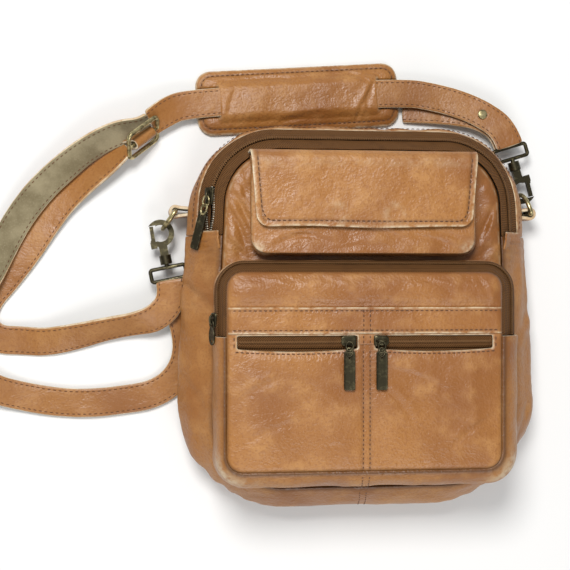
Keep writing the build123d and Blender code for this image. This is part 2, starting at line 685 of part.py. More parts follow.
# ---------------------------------------------------------------- snap hooks
# Each hook's own x runs from the strap's end to the ring, its y to the gate's side.
seat_angle = radians(SEAT_ANGLE)
seat_radius = HOOK_INNER - RING_WIRE / 2 - WIRE_SEAT
seat = (HOOK_CENTRE + seat_radius * cos(seat_angle), -seat_radius * sin(seat_angle))
hook_mid = (HOOK_OUTER + HOOK_INNER) / 2
pivot_angle = radians(GATE_START_ANGLE)
tip_angle = radians(GATE_END_ANGLE)
gate_pivot = (HOOK_CENTRE + hook_mid * cos(pivot_angle), hook_mid * sin(pivot_angle))
gate_tip = (HOOK_CENTRE + hook_mid * cos(tip_angle), hook_mid * sin(tip_angle))
post_end = COLLAR_END - POST_SETBACK
cavity = POST_HEAD + 2 * POST_PLAY
strap_bars = {}
for name, aim in HOOK_AIMS.items():
    centre, reach = RING_PLACES[name]
    bow_centre = centre + reach * RING_REACH
    lateral = Vector(0, 0, 1).cross(aim)
    origin = bow_centre - aim * seat[0] - lateral * seat[1]
    hook_plane = Plane((origin.X, origin.Y, HOOK_Z), x_dir=aim, z_dir=(0, 0, 1))
    across_plane = Plane(hook_plane.origin, x_dir=lateral, z_dir=aim)
    strap_bars[name] = (hook_plane.origin + aim * EYE_BAR_U, aim)

    with BuildPart() as hook_body:
        with BuildSketch(across_plane.offset(COLLAR_START)):
            Circle(COLLAR_DIA / 2)
        extrude(amount=COLLAR_END - COLLAR_START)
        with BuildSketch(hook_plane.offset(-HOOK_THICK / 2)):
            with Locations(((COLLAR_END + HOOK_CENTRE - HOOK_INNER) / 2, 0)):
                Rectangle(
                    HOOK_CENTRE - HOOK_INNER - COLLAR_END + 2 * SHANK_SINK, COLLAR_DIA * SHANK_SHARE
                )
            with Locations((HOOK_CENTRE, 0)):
                Circle(HOOK_OUTER)
                Circle(HOOK_INNER, mode=Mode.SUBTRACT)
            with BuildLine():
                Polyline(
                    (gate_pivot[0] + NOTCH_START, gate_pivot[1] - NOTCH_DEPTH),
                    (gate_pivot[0] + NOTCH_START, FAR / 10),
                    (gate_tip[0] + NOTCH_END, FAR / 10),
                    (gate_tip[0] + NOTCH_END, gate_tip[1] - NOTCH_DEPTH),
                    close=True,
                )
            make_face(mode=Mode.SUBTRACT)
        extrude(amount=HOOK_THICK)
        with BuildSketch(hook_plane.offset(-HOOK_THICK / 2)):
            with Locations((gate_pivot[0] - PIVOT_SHIFT, gate_pivot[1])):
                Rectangle(*PIVOT_BLOCK)
        extrude(amount=HOOK_THICK)
        with BuildSketch(hook_plane.offset(-GATE_THICK / 2 - GAP)):
            with Locations(gate_pivot):
                Circle(GATE_WIDTH / 2 + 2 * GAP)
        extrude(amount=GATE_THICK + 2 * GAP, mode=Mode.SUBTRACT)
        with BuildSketch(hook_plane.offset(-HOOK_THICK / 2)):
            with Locations(gate_pivot):
                Circle(GATE_WIDTH / 2 + PIVOT_RIM)
        extrude(amount=(HOOK_THICK - GATE_THICK) / 2 - GAP)
        with BuildSketch(hook_plane.offset(GATE_THICK / 2 + GAP)):
            with Locations(gate_pivot):
                Circle(GATE_WIDTH / 2 + PIVOT_RIM)
        extrude(amount=(HOOK_THICK - GATE_THICK) / 2 - GAP)
        with BuildSketch(hook_plane.offset(-HOOK_THICK / 2)):
            with Locations(gate_pivot):
                Circle(GATE_PIN / 2)
        extrude(amount=HOOK_THICK)
        with BuildSketch(across_plane.offset(COLLAR_START)):
            Circle(SWIVEL_POST / 2 + GAP)
        extrude(amount=post_end - COLLAR_START, mode=Mode.SUBTRACT)
        with BuildSketch(across_plane.offset(post_end - cavity)):
            Circle(SWIVEL_POST / 2 + POST_HEAD_RIM + GAP)
        extrude(amount=cavity, mode=Mode.SUBTRACT)
    save(hook_body, f"{name}_hook_body")

    with BuildPart() as gate:
        with BuildSketch(hook_plane.offset(-GATE_THICK / 2)):
            with Locations(gate_pivot):
                Circle(GATE_WIDTH / 2)
            middle = ((gate_pivot[0] + gate_tip[0]) / 2, (gate_pivot[1] + gate_tip[1]) / 2)
            with Locations(middle):
                Rectangle(gate_tip[0] - gate_pivot[0], GATE_WIDTH, rotation=GATE_SLANT)
            with Locations(gate_pivot):
                Circle(GATE_PIN / 2 + GAP / 2, mode=Mode.SUBTRACT)
        extrude(amount=GATE_THICK)
    save(gate, f"{name}_hook_gate")

    eye_half = (EYE_INNER + EYE_WIRE) / 2
    eye_near = EYE_BAR_U + EYE_WIRE + EYE_DEPTH
    with BuildPart() as eye:
        eye_corners = [
            (EYE_BAR_U, -eye_half),
            (eye_near, -eye_half),
            (eye_near, eye_half),
            (EYE_BAR_U, eye_half),
        ]
        add(wire_loop(hook_plane, eye_corners, [EYE_CORNER] * 4, EYE_WIRE))
        with BuildSketch(across_plane.offset(eye_near)):
            Circle(SWIVEL_POST / 2)
        extrude(amount=post_end - POST_PLAY - eye_near)
        with BuildSketch(across_plane.offset(post_end - POST_PLAY - POST_HEAD)):
            Circle(SWIVEL_POST / 2 + POST_HEAD_RIM)
        extrude(amount=POST_HEAD)
    save(eye, f"{name}_hook_eye")

# ---------------------------------------------------------------- strap
STRAP_PAD_Z = PAD_LEATHER * 2 + PAD_FOAM + GAP + STRAP_THICK / 2
left_bar = strap_bars["left"][0]
right_bar = strap_bars["right"][0]
left_lead = left_bar - strap_bars["left"][1] * LEAD
right_lead = right_bar - strap_bars["right"][1] * LEAD
PAD_RIGHT_END = (42.8, 176.4, STRAP_PAD_Z)
PAD_LEFT_END = (-129.8, 164.4, STRAP_PAD_Z)
PAD_MIDDLE = tuple((a + b) / 2 for a, b in zip(PAD_RIGHT_END, PAD_LEFT_END))
ADJUSTER_ENTRY = (-158, 148, 15)
UPPER_RIGHT_ROUTE = [
    PAD_MIDDLE,
    PAD_RIGHT_END,
    (65, 173, 10),
    (86, 167.5, 11.8),
    (104, 159.5, 14.4),
    (right_lead.X, right_lead.Y, 17),
    (right_bar.X, right_bar.Y, HOOK_Z + WRAP_RADIUS),
]
UPPER_LEFT_ROUTE = [
    PAD_MIDDLE,
    PAD_LEFT_END,
    (-146, 157.5, 11.5),
    ADJUSTER_ENTRY,
]
OUTER_ROUTE = [
    ADJUSTER_ENTRY,
    (-165, 142.5, 17),
    (-179, 141, 16),
    (-193, 135.5, 14),
    (-209, 125.5, 12),
    (-224, 113, 10),
    (-240, 98, 8.5),
    (-254, 80.5, 7.5),
    (-266, 60, 7),
    (-277, 36, 7),
    (-290, 9, 7),
    (-301, -19, 6.5),
    (-295, -43, 5),
    (-275, -56, 3.5),
    (-254, -61.5, 2.4),
    (-231, -66, 2.2),
    (-205, -67.5, 2.2),
    (-179, -65, 2.2),
    (-156, -61.5, 2.2),
    (-138, -50, 2.8),
    (-129, -31, 4.5),
    (-131, -8, 7),
    (left_lead.X, left_lead.Y, 10.6),
    (left_bar.X, left_bar.Y, HOOK_Z - WRAP_RADIUS),
]
INNER_ROUTE = [
    (left_bar.X, left_bar.Y, HOOK_Z + WRAP_RADIUS),
    (left_lead.X, left_lead.Y, 17.4),
    (-153, -2, 14),
    (-171, -6, 10),
    (-191, -9.5, 6.5),
    (-212, -15, 4),
    (-237, -20, 2.4),
    (-256, -18.5, 2.2),
    (-274, -18, 2.2),
    (-286, -6, 2.2),
    (-282, 12, 2.2),
    (-268, 28, 2.2),
    (-253, 47.5, 2.2),
    (-239, 69, 2.2),
    (-226, 87, 3),
    (-210, 102, 5),
    (-192, 116, 7.5),
    (-176, 131, 10.5),
]
TAIL_ROUTE = [
    (right_bar.X, right_bar.Y, HOOK_Z - WRAP_RADIUS),
    (right_lead.X, right_lead.Y, 12),
    (103, 158.5, 10.6),
    (84, 162, 7.4),
    (63, 163.8, 4.2),
    (41.5, 164.2, 2.2),
]


def bend_radii(points):
    """One radius for each corner: 0.45 of its shorter run, over the tangent of half its turn."""
    places = [Vector(*point) for point in points]
    radii = []
    for before, here, after in zip(places, places[1:], places[2:]):
        turn = (here - before).get_angle(after - here)
        run = min((here - before).length, (after - here).length)
        radii.append(0.45 * run / tan(radians(turn / 2)))
    return radii


def strap_band(points):
    """The flat strap along a route: straight runs joined by tangent arcs."""
    radii = bend_radii(points)
    with BuildPart() as band:
        with BuildLine() as line:
            FilletPolyline(*points, radius=radii)
        heading = line.line % 0
        sideways = Vector(0, 0, 1).cross(heading)
        with BuildSketch(Plane(line.line @ 0, x_dir=sideways, z_dir=heading)):
            Rectangle(STRAP_WIDTH, STRAP_THICK)
        sweep(path=line.line, binormal=Wire(line.line.edges()).moved(Location((0, 0, FAR / 10))))
    length = sum(edge.length for edge in line.line.edges())
    print("strap", round(length, 1), [round(radius) for radius in radii])
    return band.part


def strap_wrap(name):
    """Half a turn of strap round the bar of a hook's eye."""
    bar, aim = strap_bars[name]
    sideways = Vector(0, 0, 1).cross(aim)
    inner = WRAP_RADIUS - STRAP_THICK / 2
    outer = WRAP_RADIUS + STRAP_THICK / 2
    wrap_plane = Plane(bar - sideways * STRAP_WIDTH / 2, x_dir=aim, z_dir=sideways)
    with BuildPart() as wrap:
        with BuildSketch(wrap_plane):
            Circle(outer)
            Circle(inner, mode=Mode.SUBTRACT)
            with Locations((-outer, 0)):
                Rectangle(2 * outer, 2 * outer, mode=Mode.SUBTRACT)
        extrude(amount=STRAP_WIDTH)
    return wrap.part


rivet_low = TAIL_ROUTE[2][2] - STRAP_THICK / 2 - RIVET_SINK - RIVET_HEAD_THICK
rivet_high = UPPER_RIGHT_ROUTE[4][2] + STRAP_THICK / 2 + RIVET_SINK
with BuildPart() as rivet_hole:
    with BuildSketch(Plane.XY):
        with Locations(RIVET_PLACE):
            Circle(RIVET_SHANK / 2)
    extrude(amount=FAR / 10)

with BuildPart() as strap_upper:
    add(strap_band(UPPER_RIGHT_ROUTE))
    add(strap_band(UPPER_LEFT_ROUTE))
    add(strap_wrap("right"))
    add(rivet_hole.part, mode=Mode.SUBTRACT)
save(strap_upper, "strap_upper")

with BuildPart() as strap_outer_strand:
    add(strap_band(OUTER_ROUTE))
save(strap_outer_strand, "strap_outer_strand")

with BuildPart() as strap_inner_strand:
    add(strap_band(INNER_ROUTE))
    add(strap_wrap("left"))
save(strap_inner_strand, "strap_inner_strand")

with BuildPart() as strap_tail:
    add(strap_band(TAIL_ROUTE))
    add(rivet_hole.part, mode=Mode.SUBTRACT)
save(strap_tail, "strap_tail")

with BuildPart() as strap_rivet:
    with BuildSketch(Plane.XY.offset(rivet_low)):
        with Locations(RIVET_PLACE):
            Circle(RIVET_SHANK / 2)
    extrude(amount=rivet_high + RIVET_HEAD_THICK - rivet_low)
    for bottom in (rivet_low, rivet_high):
        with BuildSketch(Plane.XY.offset(bottom)):
            with Locations(RIVET_PLACE):
                Circle(RIVET_HEAD / 2)
        extrude(amount=RIVET_HEAD_THICK)
save(strap_rivet, "strap_rivet")

# The adjuster stands tilted: a frame of round-edged bar with a middle bar.
bar_way = ADJUSTER_BAR_WAY.normalized()
frame_way = ADJUSTER_FRAME_WAY.normalized()
face_way = bar_way.cross(frame_way).normalized()
adjuster_plane = Plane(ADJUSTER_CORNER, x_dir=bar_way, z_dir=face_way)
adjuster_mid = (ADJUSTER_LONG / 2, ADJUSTER_SHORT / 2)
with BuildPart() as strap_adjuster:
    with BuildSketch(adjuster_plane.offset(-ADJUSTER_BAR / 2)):
        with Locations(adjuster_mid):
            RectangleRounded(ADJUSTER_LONG, ADJUSTER_SHORT, ADJUSTER_RADIUS)
            inner_long = ADJUSTER_LONG - 2 * ADJUSTER_BAR
            inner_short = ADJUSTER_SHORT - 2 * ADJUSTER_BAR
            RectangleRounded(inner_long, inner_short, ADJUSTER_RADIUS / 2, mode=Mode.SUBTRACT)
            Rectangle(inner_long + ADJUSTER_BAR, ADJUSTER_BAR)
    extrude(amount=ADJUSTER_BAR)
    long_edges = [edge for edge in strap_adjuster.edges().filter_by(GeomType.LINE)
                  if edge.length > ADJUSTER_SHORT / 2]
    fillet(long_edges, ADJUSTER_EDGE)
save(strap_adjuster, "strap_adjuster")

fold_start = ADJUSTER_CORNER + bar_way * (ADJUSTER_LONG - FOLD_WIDTH) / 2
fold_angle = radians(FOLD_ANGLE)
fold_plane = Plane(
    fold_start + frame_way * (ADJUSTER_SHORT / 2),
    x_dir=frame_way * sin(fold_angle) - face_way * cos(fold_angle),
    z_dir=bar_way,
)
fold_inner = ADJUSTER_BAR * FOLD_ROOM
fold_outer = fold_inner + FOLD_THICK
with BuildPart() as adjuster_fold:
    with BuildSketch(fold_plane):
        Circle(fold_outer)
        Circle(fold_inner, mode=Mode.SUBTRACT)
        with Locations((fold_outer, 0)):
            Rectangle(2 * fold_outer, 4 * fold_outer, mode=Mode.SUBTRACT)
        for side in (-1, 1):
            with Locations((FOLD_LEG / 2, side * (fold_inner + fold_outer) / 2)):
                Rectangle(FOLD_LEG, fold_outer - fold_inner)
    extrude(amount=FOLD_WIDTH)
save(adjuster_fold, "adjuster_fold")

# ---------------------------------------------------------------- shoulder pad
pad_way = (Vector(*PAD_RIGHT_END) - Vector(*PAD_LEFT_END)).normalized()
pad_centre = Vector(PAD_MIDDLE[0], PAD_MIDDLE[1], 0) + pad_way * PAD_SHIFT
pad_plane = Plane(pad_centre, x_dir=pad_way, z_dir=(0, 0, 1))
pad_top_z = PAD_LEATHER + PAD_FOAM
with BuildPart() as pad_base:
    with BuildSketch(pad_plane):
        RectangleRounded(PAD_LENGTH, PAD_WIDTH, PAD_RADIUS)
    extrude(amount=PAD_LEATHER)
save(pad_base, "pad_base")

with BuildPart() as pad_foam:
    with BuildSketch(pad_plane.offset(PAD_LEATHER)):
        RectangleRounded(PAD_LENGTH - 2 * RIM, PAD_WIDTH - 2 * RIM, PAD_RADIUS - RIM)
    extrude(amount=PAD_FOAM)
save(pad_foam, "pad_foam")

tunnel_inner = STRAP_WIDTH + 2 * GAP
tunnel_height = GAP + STRAP_THICK + GAP
with BuildPart() as pad_top:
    with BuildSketch(pad_plane.offset(PAD_LEATHER)):
        RectangleRounded(PAD_LENGTH, PAD_WIDTH, PAD_RADIUS)
        RectangleRounded(
            PAD_LENGTH - 2 * RIM, PAD_WIDTH - 2 * RIM, PAD_RADIUS - RIM, mode=Mode.SUBTRACT
        )
    extrude(amount=PAD_FOAM)
    with BuildSketch(pad_plane.offset(pad_top_z)):
        RectangleRounded(PAD_LENGTH, PAD_WIDTH, PAD_RADIUS)
    extrude(amount=PAD_LEATHER)
    with BuildSketch(pad_plane.offset(pad_top_z + PAD_LEATHER)):
        Rectangle(TUNNEL_LENGTH, tunnel_inner + 2 * TUNNEL_WALL)
    extrude(amount=tunnel_height + TUNNEL_WALL)
    with BuildSketch(pad_plane.offset(pad_top_z + PAD_LEATHER)):
        Rectangle(TUNNEL_LENGTH, tunnel_inner)
    extrude(amount=tunnel_height, mode=Mode.SUBTRACT)
save(pad_top, "pad_top")
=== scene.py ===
import math
import bpy
import numpy as np
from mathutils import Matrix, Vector, noise


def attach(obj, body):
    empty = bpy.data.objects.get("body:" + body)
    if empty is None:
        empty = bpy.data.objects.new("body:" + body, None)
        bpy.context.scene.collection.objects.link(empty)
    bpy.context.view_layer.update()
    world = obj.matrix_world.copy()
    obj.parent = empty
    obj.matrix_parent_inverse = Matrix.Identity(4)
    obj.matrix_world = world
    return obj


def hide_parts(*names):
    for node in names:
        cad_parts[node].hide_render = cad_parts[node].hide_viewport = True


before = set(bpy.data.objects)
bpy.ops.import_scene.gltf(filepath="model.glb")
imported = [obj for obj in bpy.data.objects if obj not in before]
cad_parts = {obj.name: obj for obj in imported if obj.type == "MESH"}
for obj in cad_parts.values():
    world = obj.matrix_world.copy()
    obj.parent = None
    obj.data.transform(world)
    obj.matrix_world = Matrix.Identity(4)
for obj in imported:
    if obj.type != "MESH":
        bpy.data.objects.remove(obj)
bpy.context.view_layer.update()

# Lengths below are millimetres in the CAD frame; make() writes metres.


# ------------------------------------------------------------------ camera, light and floor
def add_object(name, data):
    thing = bpy.data.objects.new(name, data)
    bpy.context.collection.objects.link(thing)
    return thing


def set_camera():
    tilt = math.radians(7.0)
    reach = 950.0
    aim = Vector((-52.0, 24.0, 0.0))
    way = Vector((math.sin(tilt), 0.0, -math.cos(tilt)))
    data = bpy.data.cameras.new("camera")
    data.sensor_width = 36.0
    data.lens = 76.0
    camera = add_object("camera", data)
    camera.location = (aim - way * reach) / 1000
    camera.rotation_euler = (0.0, -tilt, 0.0)
    bpy.context.scene.camera = camera


def add_lamp(name, place, aim, size, power):
    data = bpy.data.lights.new(name, "AREA")
    data.shape = "DISK"
    data.size = size
    data.energy = power
    lamp = add_object(name, data)
    lamp.location = place
    lamp.rotation_euler = (Vector(aim) - Vector(place)).to_track_quat("-Z", "Y").to_euler()


def set_stage():
    scene = bpy.context.scene
    scene.view_settings.view_transform = "Standard"
    scene.world = bpy.data.worlds.new("world")
    scene.world.use_nodes = True
    sky = scene.world.node_tree.nodes["Background"]
    sky.inputs[0].default_value = (0.86, 0.89, 0.93, 1)
    sky.inputs[1].default_value = 0.40
    add_lamp("key", (-0.35, 0.60, 1.30), (-0.02, 0.0, 0.0), 0.5, 18)
    add_lamp("fill", (0.10, -0.95, 1.05), (0.0, -0.05, 0.0), 0.8, 8)
    half = 4.0
    mesh = bpy.data.meshes.new("floor")
    mesh.from_pydata([(-half, -half, 0), (half, -half, 0), (half, half, 0), (-half, half, 0)], [],
                     [(0, 1, 2, 3)])
    mesh.materials.append(Finish("floor_pale").done(Base_Color=(0.80, 0.79, 0.77), Roughness=0.9))
    floor = add_object("floor", mesh)
    floor.location.z = -0.0004


# ------------------------------------------------------------------ materials
class Finish:
    """A material being made: a Principled shader fed by textures in the object's own coordinates."""

    def __init__(self, name):
        self.material = bpy.data.materials.new(name)
        self.material.use_nodes = True
        self.nodes = self.material.node_tree.nodes
        self.place = self.nodes.new("ShaderNodeTexCoord").outputs["Object"]

    def feed(self, socket, value):
        """Links an output to a socket, or sets the socket to a number, vector or colour."""
        if isinstance(value, bpy.types.NodeSocket):
            self.material.node_tree.links.new(value, socket)
        else:
            socket.default_value = (*value, 1) if socket.type == "RGBA" else value

    def node(self, kind, inputs, output=0, **settings):
        new = self.nodes.new("ShaderNode" + kind)
        for setting, value in settings.items():
            setattr(new, setting, value)
        for socket, value in inputs.items():
            self.feed(new.inputs[socket], value)
        return new.outputs[output]

    def mix(self, factor, first, second):
        return self.node("Mix", {0: factor, 6: first, 7: second}, 2, data_type="RGBA")

    def math(self, operation, *values):
        return self.node("Math", dict(enumerate(values)), operation=operation)

    def attribute(self, name):
        return self.node("Attribute", {}, "Fac", attribute_name=name)

    def mapped(self, **how):
        return self.node("Mapping", {0: self.place, **how})

    def noise(self, scale, detail=3.0, rough=0.55, place=None):
        place = self.place if place is None else place
        return self.node("TexNoise", {"Vector": place, "Scale": scale, "Detail": detail, "Roughness": rough})

    def step(self, value, low, high, out_low=0.0, out_high=1.0):
        inputs = dict(enumerate((value, low, high, out_low, out_high)))
        return self.node("MapRange", inputs, interpolation_type="SMOOTHSTEP")

    def bump(self, height, strength, distance, **before):
        return self.node("Bump", {"Height": height, "Strength": strength, "Distance": distance, **before})

    def done(self, **sockets):
        """Feeds the shader's sockets, named with _ for a space, and gives the material."""
        for label, value in sockets.items():
            self.feed(self.nodes["Principled BSDF"].inputs[label.replace("_", " ")], value)
        return self.material


def leather_material(name, mid, dark, light, grain=1.0, rough=(0.36, 0.52)):
    """Waxed leather in patches of three browns. Its wear attribute bares a pale hide, and its shade attribute
    is painted shade that darkens it in seams, grooves and creases.
    """
    new = Finish(name)
    blotch = new.noise(52, 2)
    grains = new.noise(560, 1, 0.6)
    colour = new.mix(new.step(new.noise(15, 1), 0.28, 0.62), dark, mid)
    colour = new.mix(new.step(blotch, 0.46, 0.80, 0.0, 0.50), colour, light)
    colour = new.mix(new.step(grains, 0.46, 0.70, 0.0, 0.45), colour, dark)
    ragged = new.step(new.noise(150, 2, 0.65), 0.30, 0.64)
    colour = new.mix(new.math("MULTIPLY", new.attribute("wear"), ragged), colour, (0.62, 0.50, 0.33))
    # Painted shade: the shade attribute darkens the colour towards a deep brown.
    colour = new.mix(new.attribute("shade"), colour, tuple(0.30 * value for value in dark))
    folds = new.noise(270, 2, 0.6, new.mapped(Scale=(0.75, 1.0, 1.0)))
    fine = new.bump(new.math("MULTIPLY_ADD", grains, 0.9, folds), 0.55 * grain, 0.0008)
    return new.done(Base_Color=colour, Roughness=new.step(blotch, 0.30, 0.72, *rough),
                    Specular_IOR_Level=0.5,
                    Normal=new.bump(blotch, 0.35, 0.0040, Normal=fine))


def suede_material():
    new = Finish("suede")
    fibres = new.noise(900, 4, 0.75)
    colour = new.mix(new.step(new.noise(36, 4), 0.36, 0.66), (0.16, 0.125, 0.062), (0.285, 0.235, 0.135))
    colour = new.mix(new.step(fibres, 0.5, 0.74, 0.0, 0.5), colour, (0.38, 0.32, 0.20))
    return new.done(Base_Color=colour, Roughness=0.95, Sheen_Weight=0.35,
                    Normal=new.bump(fibres, 0.7, 0.0004))


def raw_edge_material():
    new = Finish("raw_edge")
    fibres = new.noise(420, 5, 0.7)
    colour = new.mix(new.step(new.noise(60, 3), 0.35, 0.65), (0.50, 0.335, 0.175), (0.72, 0.60, 0.42))
    colour = new.mix(new.step(fibres, 0.52, 0.72, 0.0, 0.8), colour, (0.33, 0.17, 0.07))
    return new.done(Base_Color=colour, Roughness=0.85, Normal=new.bump(fibres, 0.6, 0.0004))


def woven_material(name, low, high, pitch, sheen=0.2):
    """Cloth of two crossing threads, pitch millimetres apart."""
    new = Finish(name)
    waves = [new.node("TexWave", {"Vector": new.mapped(Rotation=(0.3, 0.4, math.radians(turn))),
                                  "Scale": 314.0 / pitch, "Distortion": 0.4}, "Fac") for turn in (45, -45)]
    weave = new.math("MULTIPLY", *waves)
    colour = new.mix(new.step(new.noise(120, 4), 0.5, 0.75, 0.0, 0.5), new.mix(weave, low, high), low)
    return new.done(Base_Color=colour, Roughness=0.8, Specular_IOR_Level=0.25, Sheen_Weight=sheen,
                    Normal=new.bump(weave, 0.6, 0.0003))


def metal_material(name, dark, bright, rough, worn_from):
    new = Finish(name)
    stains = new.noise(260, 5, 0.65)
    colour = new.mix(new.step(stains, worn_from - 0.14, worn_from + 0.14), dark, bright)
    return new.done(Base_Color=colour, Metallic=0.95,
                    Roughness=new.step(stains, 0.3, 0.7, rough + 0.16, rough),
                    Normal=new.bump(new.noise(700, 3), 0.25, 0.00012))


TAN = leather_material("tan_leather", (0.345, 0.144, 0.034), (0.245, 0.088, 0.019), (0.50, 0.25, 0.076))
STRAP_LEATHER = leather_material("strap_leather", (0.33, 0.140, 0.034), (0.24, 0.088, 0.019),
                                 (0.45, 0.225, 0.070),
                                 grain=0.6, rough=(0.36, 0.50))
SUEDE = suede_material()
RAW = raw_edge_material()
TAPE = woven_material("zip_tape", (0.060, 0.024, 0.006), (0.25, 0.108, 0.026), 1.1, sheen=0.0)
LINING = woven_material("lining_cloth", (0.10, 0.07, 0.04), (0.26, 0.19, 0.12), 0.9)
THREAD = woven_material("thread", (0.085, 0.030, 0.009), (0.22, 0.092, 0.030), 0.5)
BRASS = metal_material("antique_brass", (0.13, 0.105, 0.05), (0.62, 0.52, 0.27), 0.30, 0.48)
DARK_BRASS = metal_material("dark_brass", (0.050, 0.042, 0.024), (0.17, 0.145, 0.078), 0.32, 0.60)
COIL = woven_material("zip_coil", (0.10, 0.045, 0.014), (0.33, 0.165, 0.060), 0.7, sheen=0.0)
TEETH_WORN = metal_material("zip_teeth_worn", (0.16, 0.14, 0.10), (0.50, 0.45, 0.36), 0.42, 0.46)

# A sheet's materials are those of its face, its cut edge and its back.
LEATHER = [TAN, RAW, SUEDE]
STRAP = [STRAP_LEATHER, RAW, SUEDE]

set_camera()
set_stage()


# ------------------------------------------------------------------ mesh helpers
def make(name, verts, faces, materials, face_slots=None, wear=None, shade=None):
    mesh = bpy.data.meshes.new(name)
    mesh.from_pydata([tuple(v) for v in np.asarray(verts, float) / 1000], [], faces)
    for material in materials:
        mesh.materials.append(material)
    if face_slots is not None:
        mesh.polygons.foreach_set("material_index", face_slots)
    mesh.polygons.foreach_set("use_smooth", [True] * len(mesh.polygons))
    # wear is the leather's real wear; shade is painted shade for seams, grooves and creases.
    for label, values in (("wear", wear), ("shade", shade)):
        if values is not None:
            layer = mesh.attributes.new(label, "FLOAT", "POINT")
            layer.data.foreach_set("value", np.clip(np.ravel(values), 0, 1))
    mesh.update()
    piece = add_object(name, mesh)
    return piece


def held(piece, body, *nodes):
    """Carries a piece on its body, in place of the CAD nodes named."""
    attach(piece, body)
    if nodes:
        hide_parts(*nodes)
    return piece


def grid_faces(rows, cols, closed=False, skip=None):
    faces = []
    for i in range(rows - 1):
        for j in range(cols if closed else cols - 1):
            if skip is not None and skip(i, j):
                continue
            k = (j + 1) % cols
            faces.append((i * cols + j, i * cols + k, (i + 1) * cols + k, (i + 1) * cols + j))
    return faces


def tube_faces(rings, sides, base=0, joined=False):
    """Faces of a tube of rings whose two ends are capped, or joined to each other."""
    if joined:
        return [tuple(base + k % (rings * sides) for k in face)
                for face in grid_faces(rings + 1, sides, closed=True)]
    faces = grid_faces(rings, sides, closed=True)
    faces += [tuple(reversed(range(sides))), tuple(range((rings - 1) * sides, rings * sides))]
    return [tuple(base + k for k in face) for face in faces]


def smooth(piece):
    subdivision = piece.modifiers.new("soft", "SUBSURF")
    subdivision.levels = 1
    subdivision.render_levels = 1


def sheet_of(name, grid, materials, thick, skip=None, closed=False, offset=-1.0, rim=1, **looks):
    """A sheet on a grid of points, whose thickness lies below its outer side unless offset says otherwise."""
    rows, cols = grid.shape[:2]
    piece = make(name, grid.reshape(-1, 3), grid_faces(rows, cols, closed, skip), materials, **looks)
    solid = piece.modifiers.new("thick", "SOLIDIFY")
    solid.thickness = thick / 1000
    solid.offset = offset
    solid.use_even_offset = False
    solid.material_offset_rim = min(rim, len(materials) - 1)
    solid.material_offset = len(materials) - 1
    smooth(piece)
    return piece


def unit(ways):
    return ways / np.maximum(np.linalg.norm(ways, axis=-1, keepdims=True), 1e-9)


def travelled(points):
    """How far along a line each of its points is."""
    return np.r_[0, np.cumsum(np.linalg.norm(np.diff(points, axis=0), axis=1))]


def between(at, steps, values):
    """The values (places or ways) along a line at one or more distances."""
    return np.stack([np.interp(at, steps, column) for column in np.transpose(values)], axis=-1)


def resample(points, count, closed=False):
    if closed:
        points = np.vstack([points, points[:1]])
    steps = travelled(points)
    return between(np.linspace(0, steps[-1], count, endpoint=not closed), steps, points)


def normals_of(grid):
    return unit(np.cross(np.gradient(grid, axis=1), np.gradient(grid, axis=0)))


def pushed(grid, amount):
    return grid + normals_of(grid) * amount[..., None]


def on_floor(x, y):
    """Places on the floor, where ripple() is read for a height that depends on (x, y) alone."""
    return np.stack([x, y, np.zeros(np.shape(x))], axis=-1)


def ripple(places, scale, seed=0.0):
    """Smooth noise, -1 to 1, at places in millimetres; scale is the size of a ripple."""
    flat = np.asarray(places, float).reshape(-1, 3) / scale + seed
    return np.array([noise.noise(Vector(p)) for p in flat]).reshape(np.asarray(places).shape[:-1])


def hump(value, middle, width):
    return np.exp(-((value - middle) / width) ** 2)


def crease(x, y, start, end, width, depth):
    """A fold line from start to end: a groove with a soft ridge beside it."""
    start, end = np.array(start, float), np.array(end, float)
    length = np.linalg.norm(end - start)
    way = (end - start) / length
    along = (x - start[0]) * way[0] + (y - start[1]) * way[1]
    off = -(x - start[0]) * way[1] + (y - start[1]) * way[0]
    off = off - 0.06 * length * np.sin(np.pi * np.clip(along / length, 0, 1))
    soft = 0.07 * length
    fade = 1 / (1 + np.exp(-(along - 0.08 * length) / soft)) / (1 + np.exp((along - 0.92 * length) / soft))
    return fade * depth * (0.6 * hump(off, 1.5 * width, 1.4 * width) - hump(off, 0, width))


def creases(x, y, folds):
    """The height of several creases, each (start, end, width, depth)."""
    return sum(crease(x, y, *fold) for fold in folds)


# ------------------------------------------------------------------ stitches and zip teeth
SEAMS = (-2.4, 2.4)
TOOTH_PITCH = 1.7
SEAM_STITCH = {"pitch": 3.3, "long": 2.1}
stitch_runs = {}


def stitch(body, points, up=(0, 0, 1), pitch=3.6, long=2.6, thick=0.42):
    """Puts a row of stitches along a dense line of points; up is the surface's outward way at each."""
    points = np.asarray(points, float)
    up = np.broadcast_to(np.asarray(up, float), points.shape)
    steps = travelled(points)
    count = max(int(steps[-1] // pitch), 1)
    for k in range(count):
        at = (k + 0.5) * steps[-1] / count
        start, end = (between(at + s * long / 2, steps, points) for s in (-1, 1))
        stitch_runs.setdefault(body, []).append((start, end, unit(between(at, steps, up)), thick))


def sew(body, label):
    """Makes one mesh of all the stitches on a body: each a short rounded thread that dips at both ends."""
    verts, faces = [], []
    sides, lift = 6, 0.05
    stations = ((0.0, 0.25, -0.55), (0.16, 0.85, 0.0), (0.5, 1.0, 0.16), (0.84, 0.85, 0.0),
                (1.0, 0.25, -0.55))
    for start, end, rise, thick in stitch_runs.pop(body):
        side = np.cross(rise, unit(end - start))
        faces += tube_faces(len(stations), sides, len(verts))
        for share, fat, height in stations:
            centre = start + (end - start) * share + rise * (height * thick + lift)
            for angle in np.linspace(0, 2 * math.pi, sides, endpoint=False):
                verts.append(centre + fat * thick * (math.cos(angle) * side + 0.8 * math.sin(angle) * rise))
    held(make("stitches_" + label, verts, faces, [THREAD]), body)


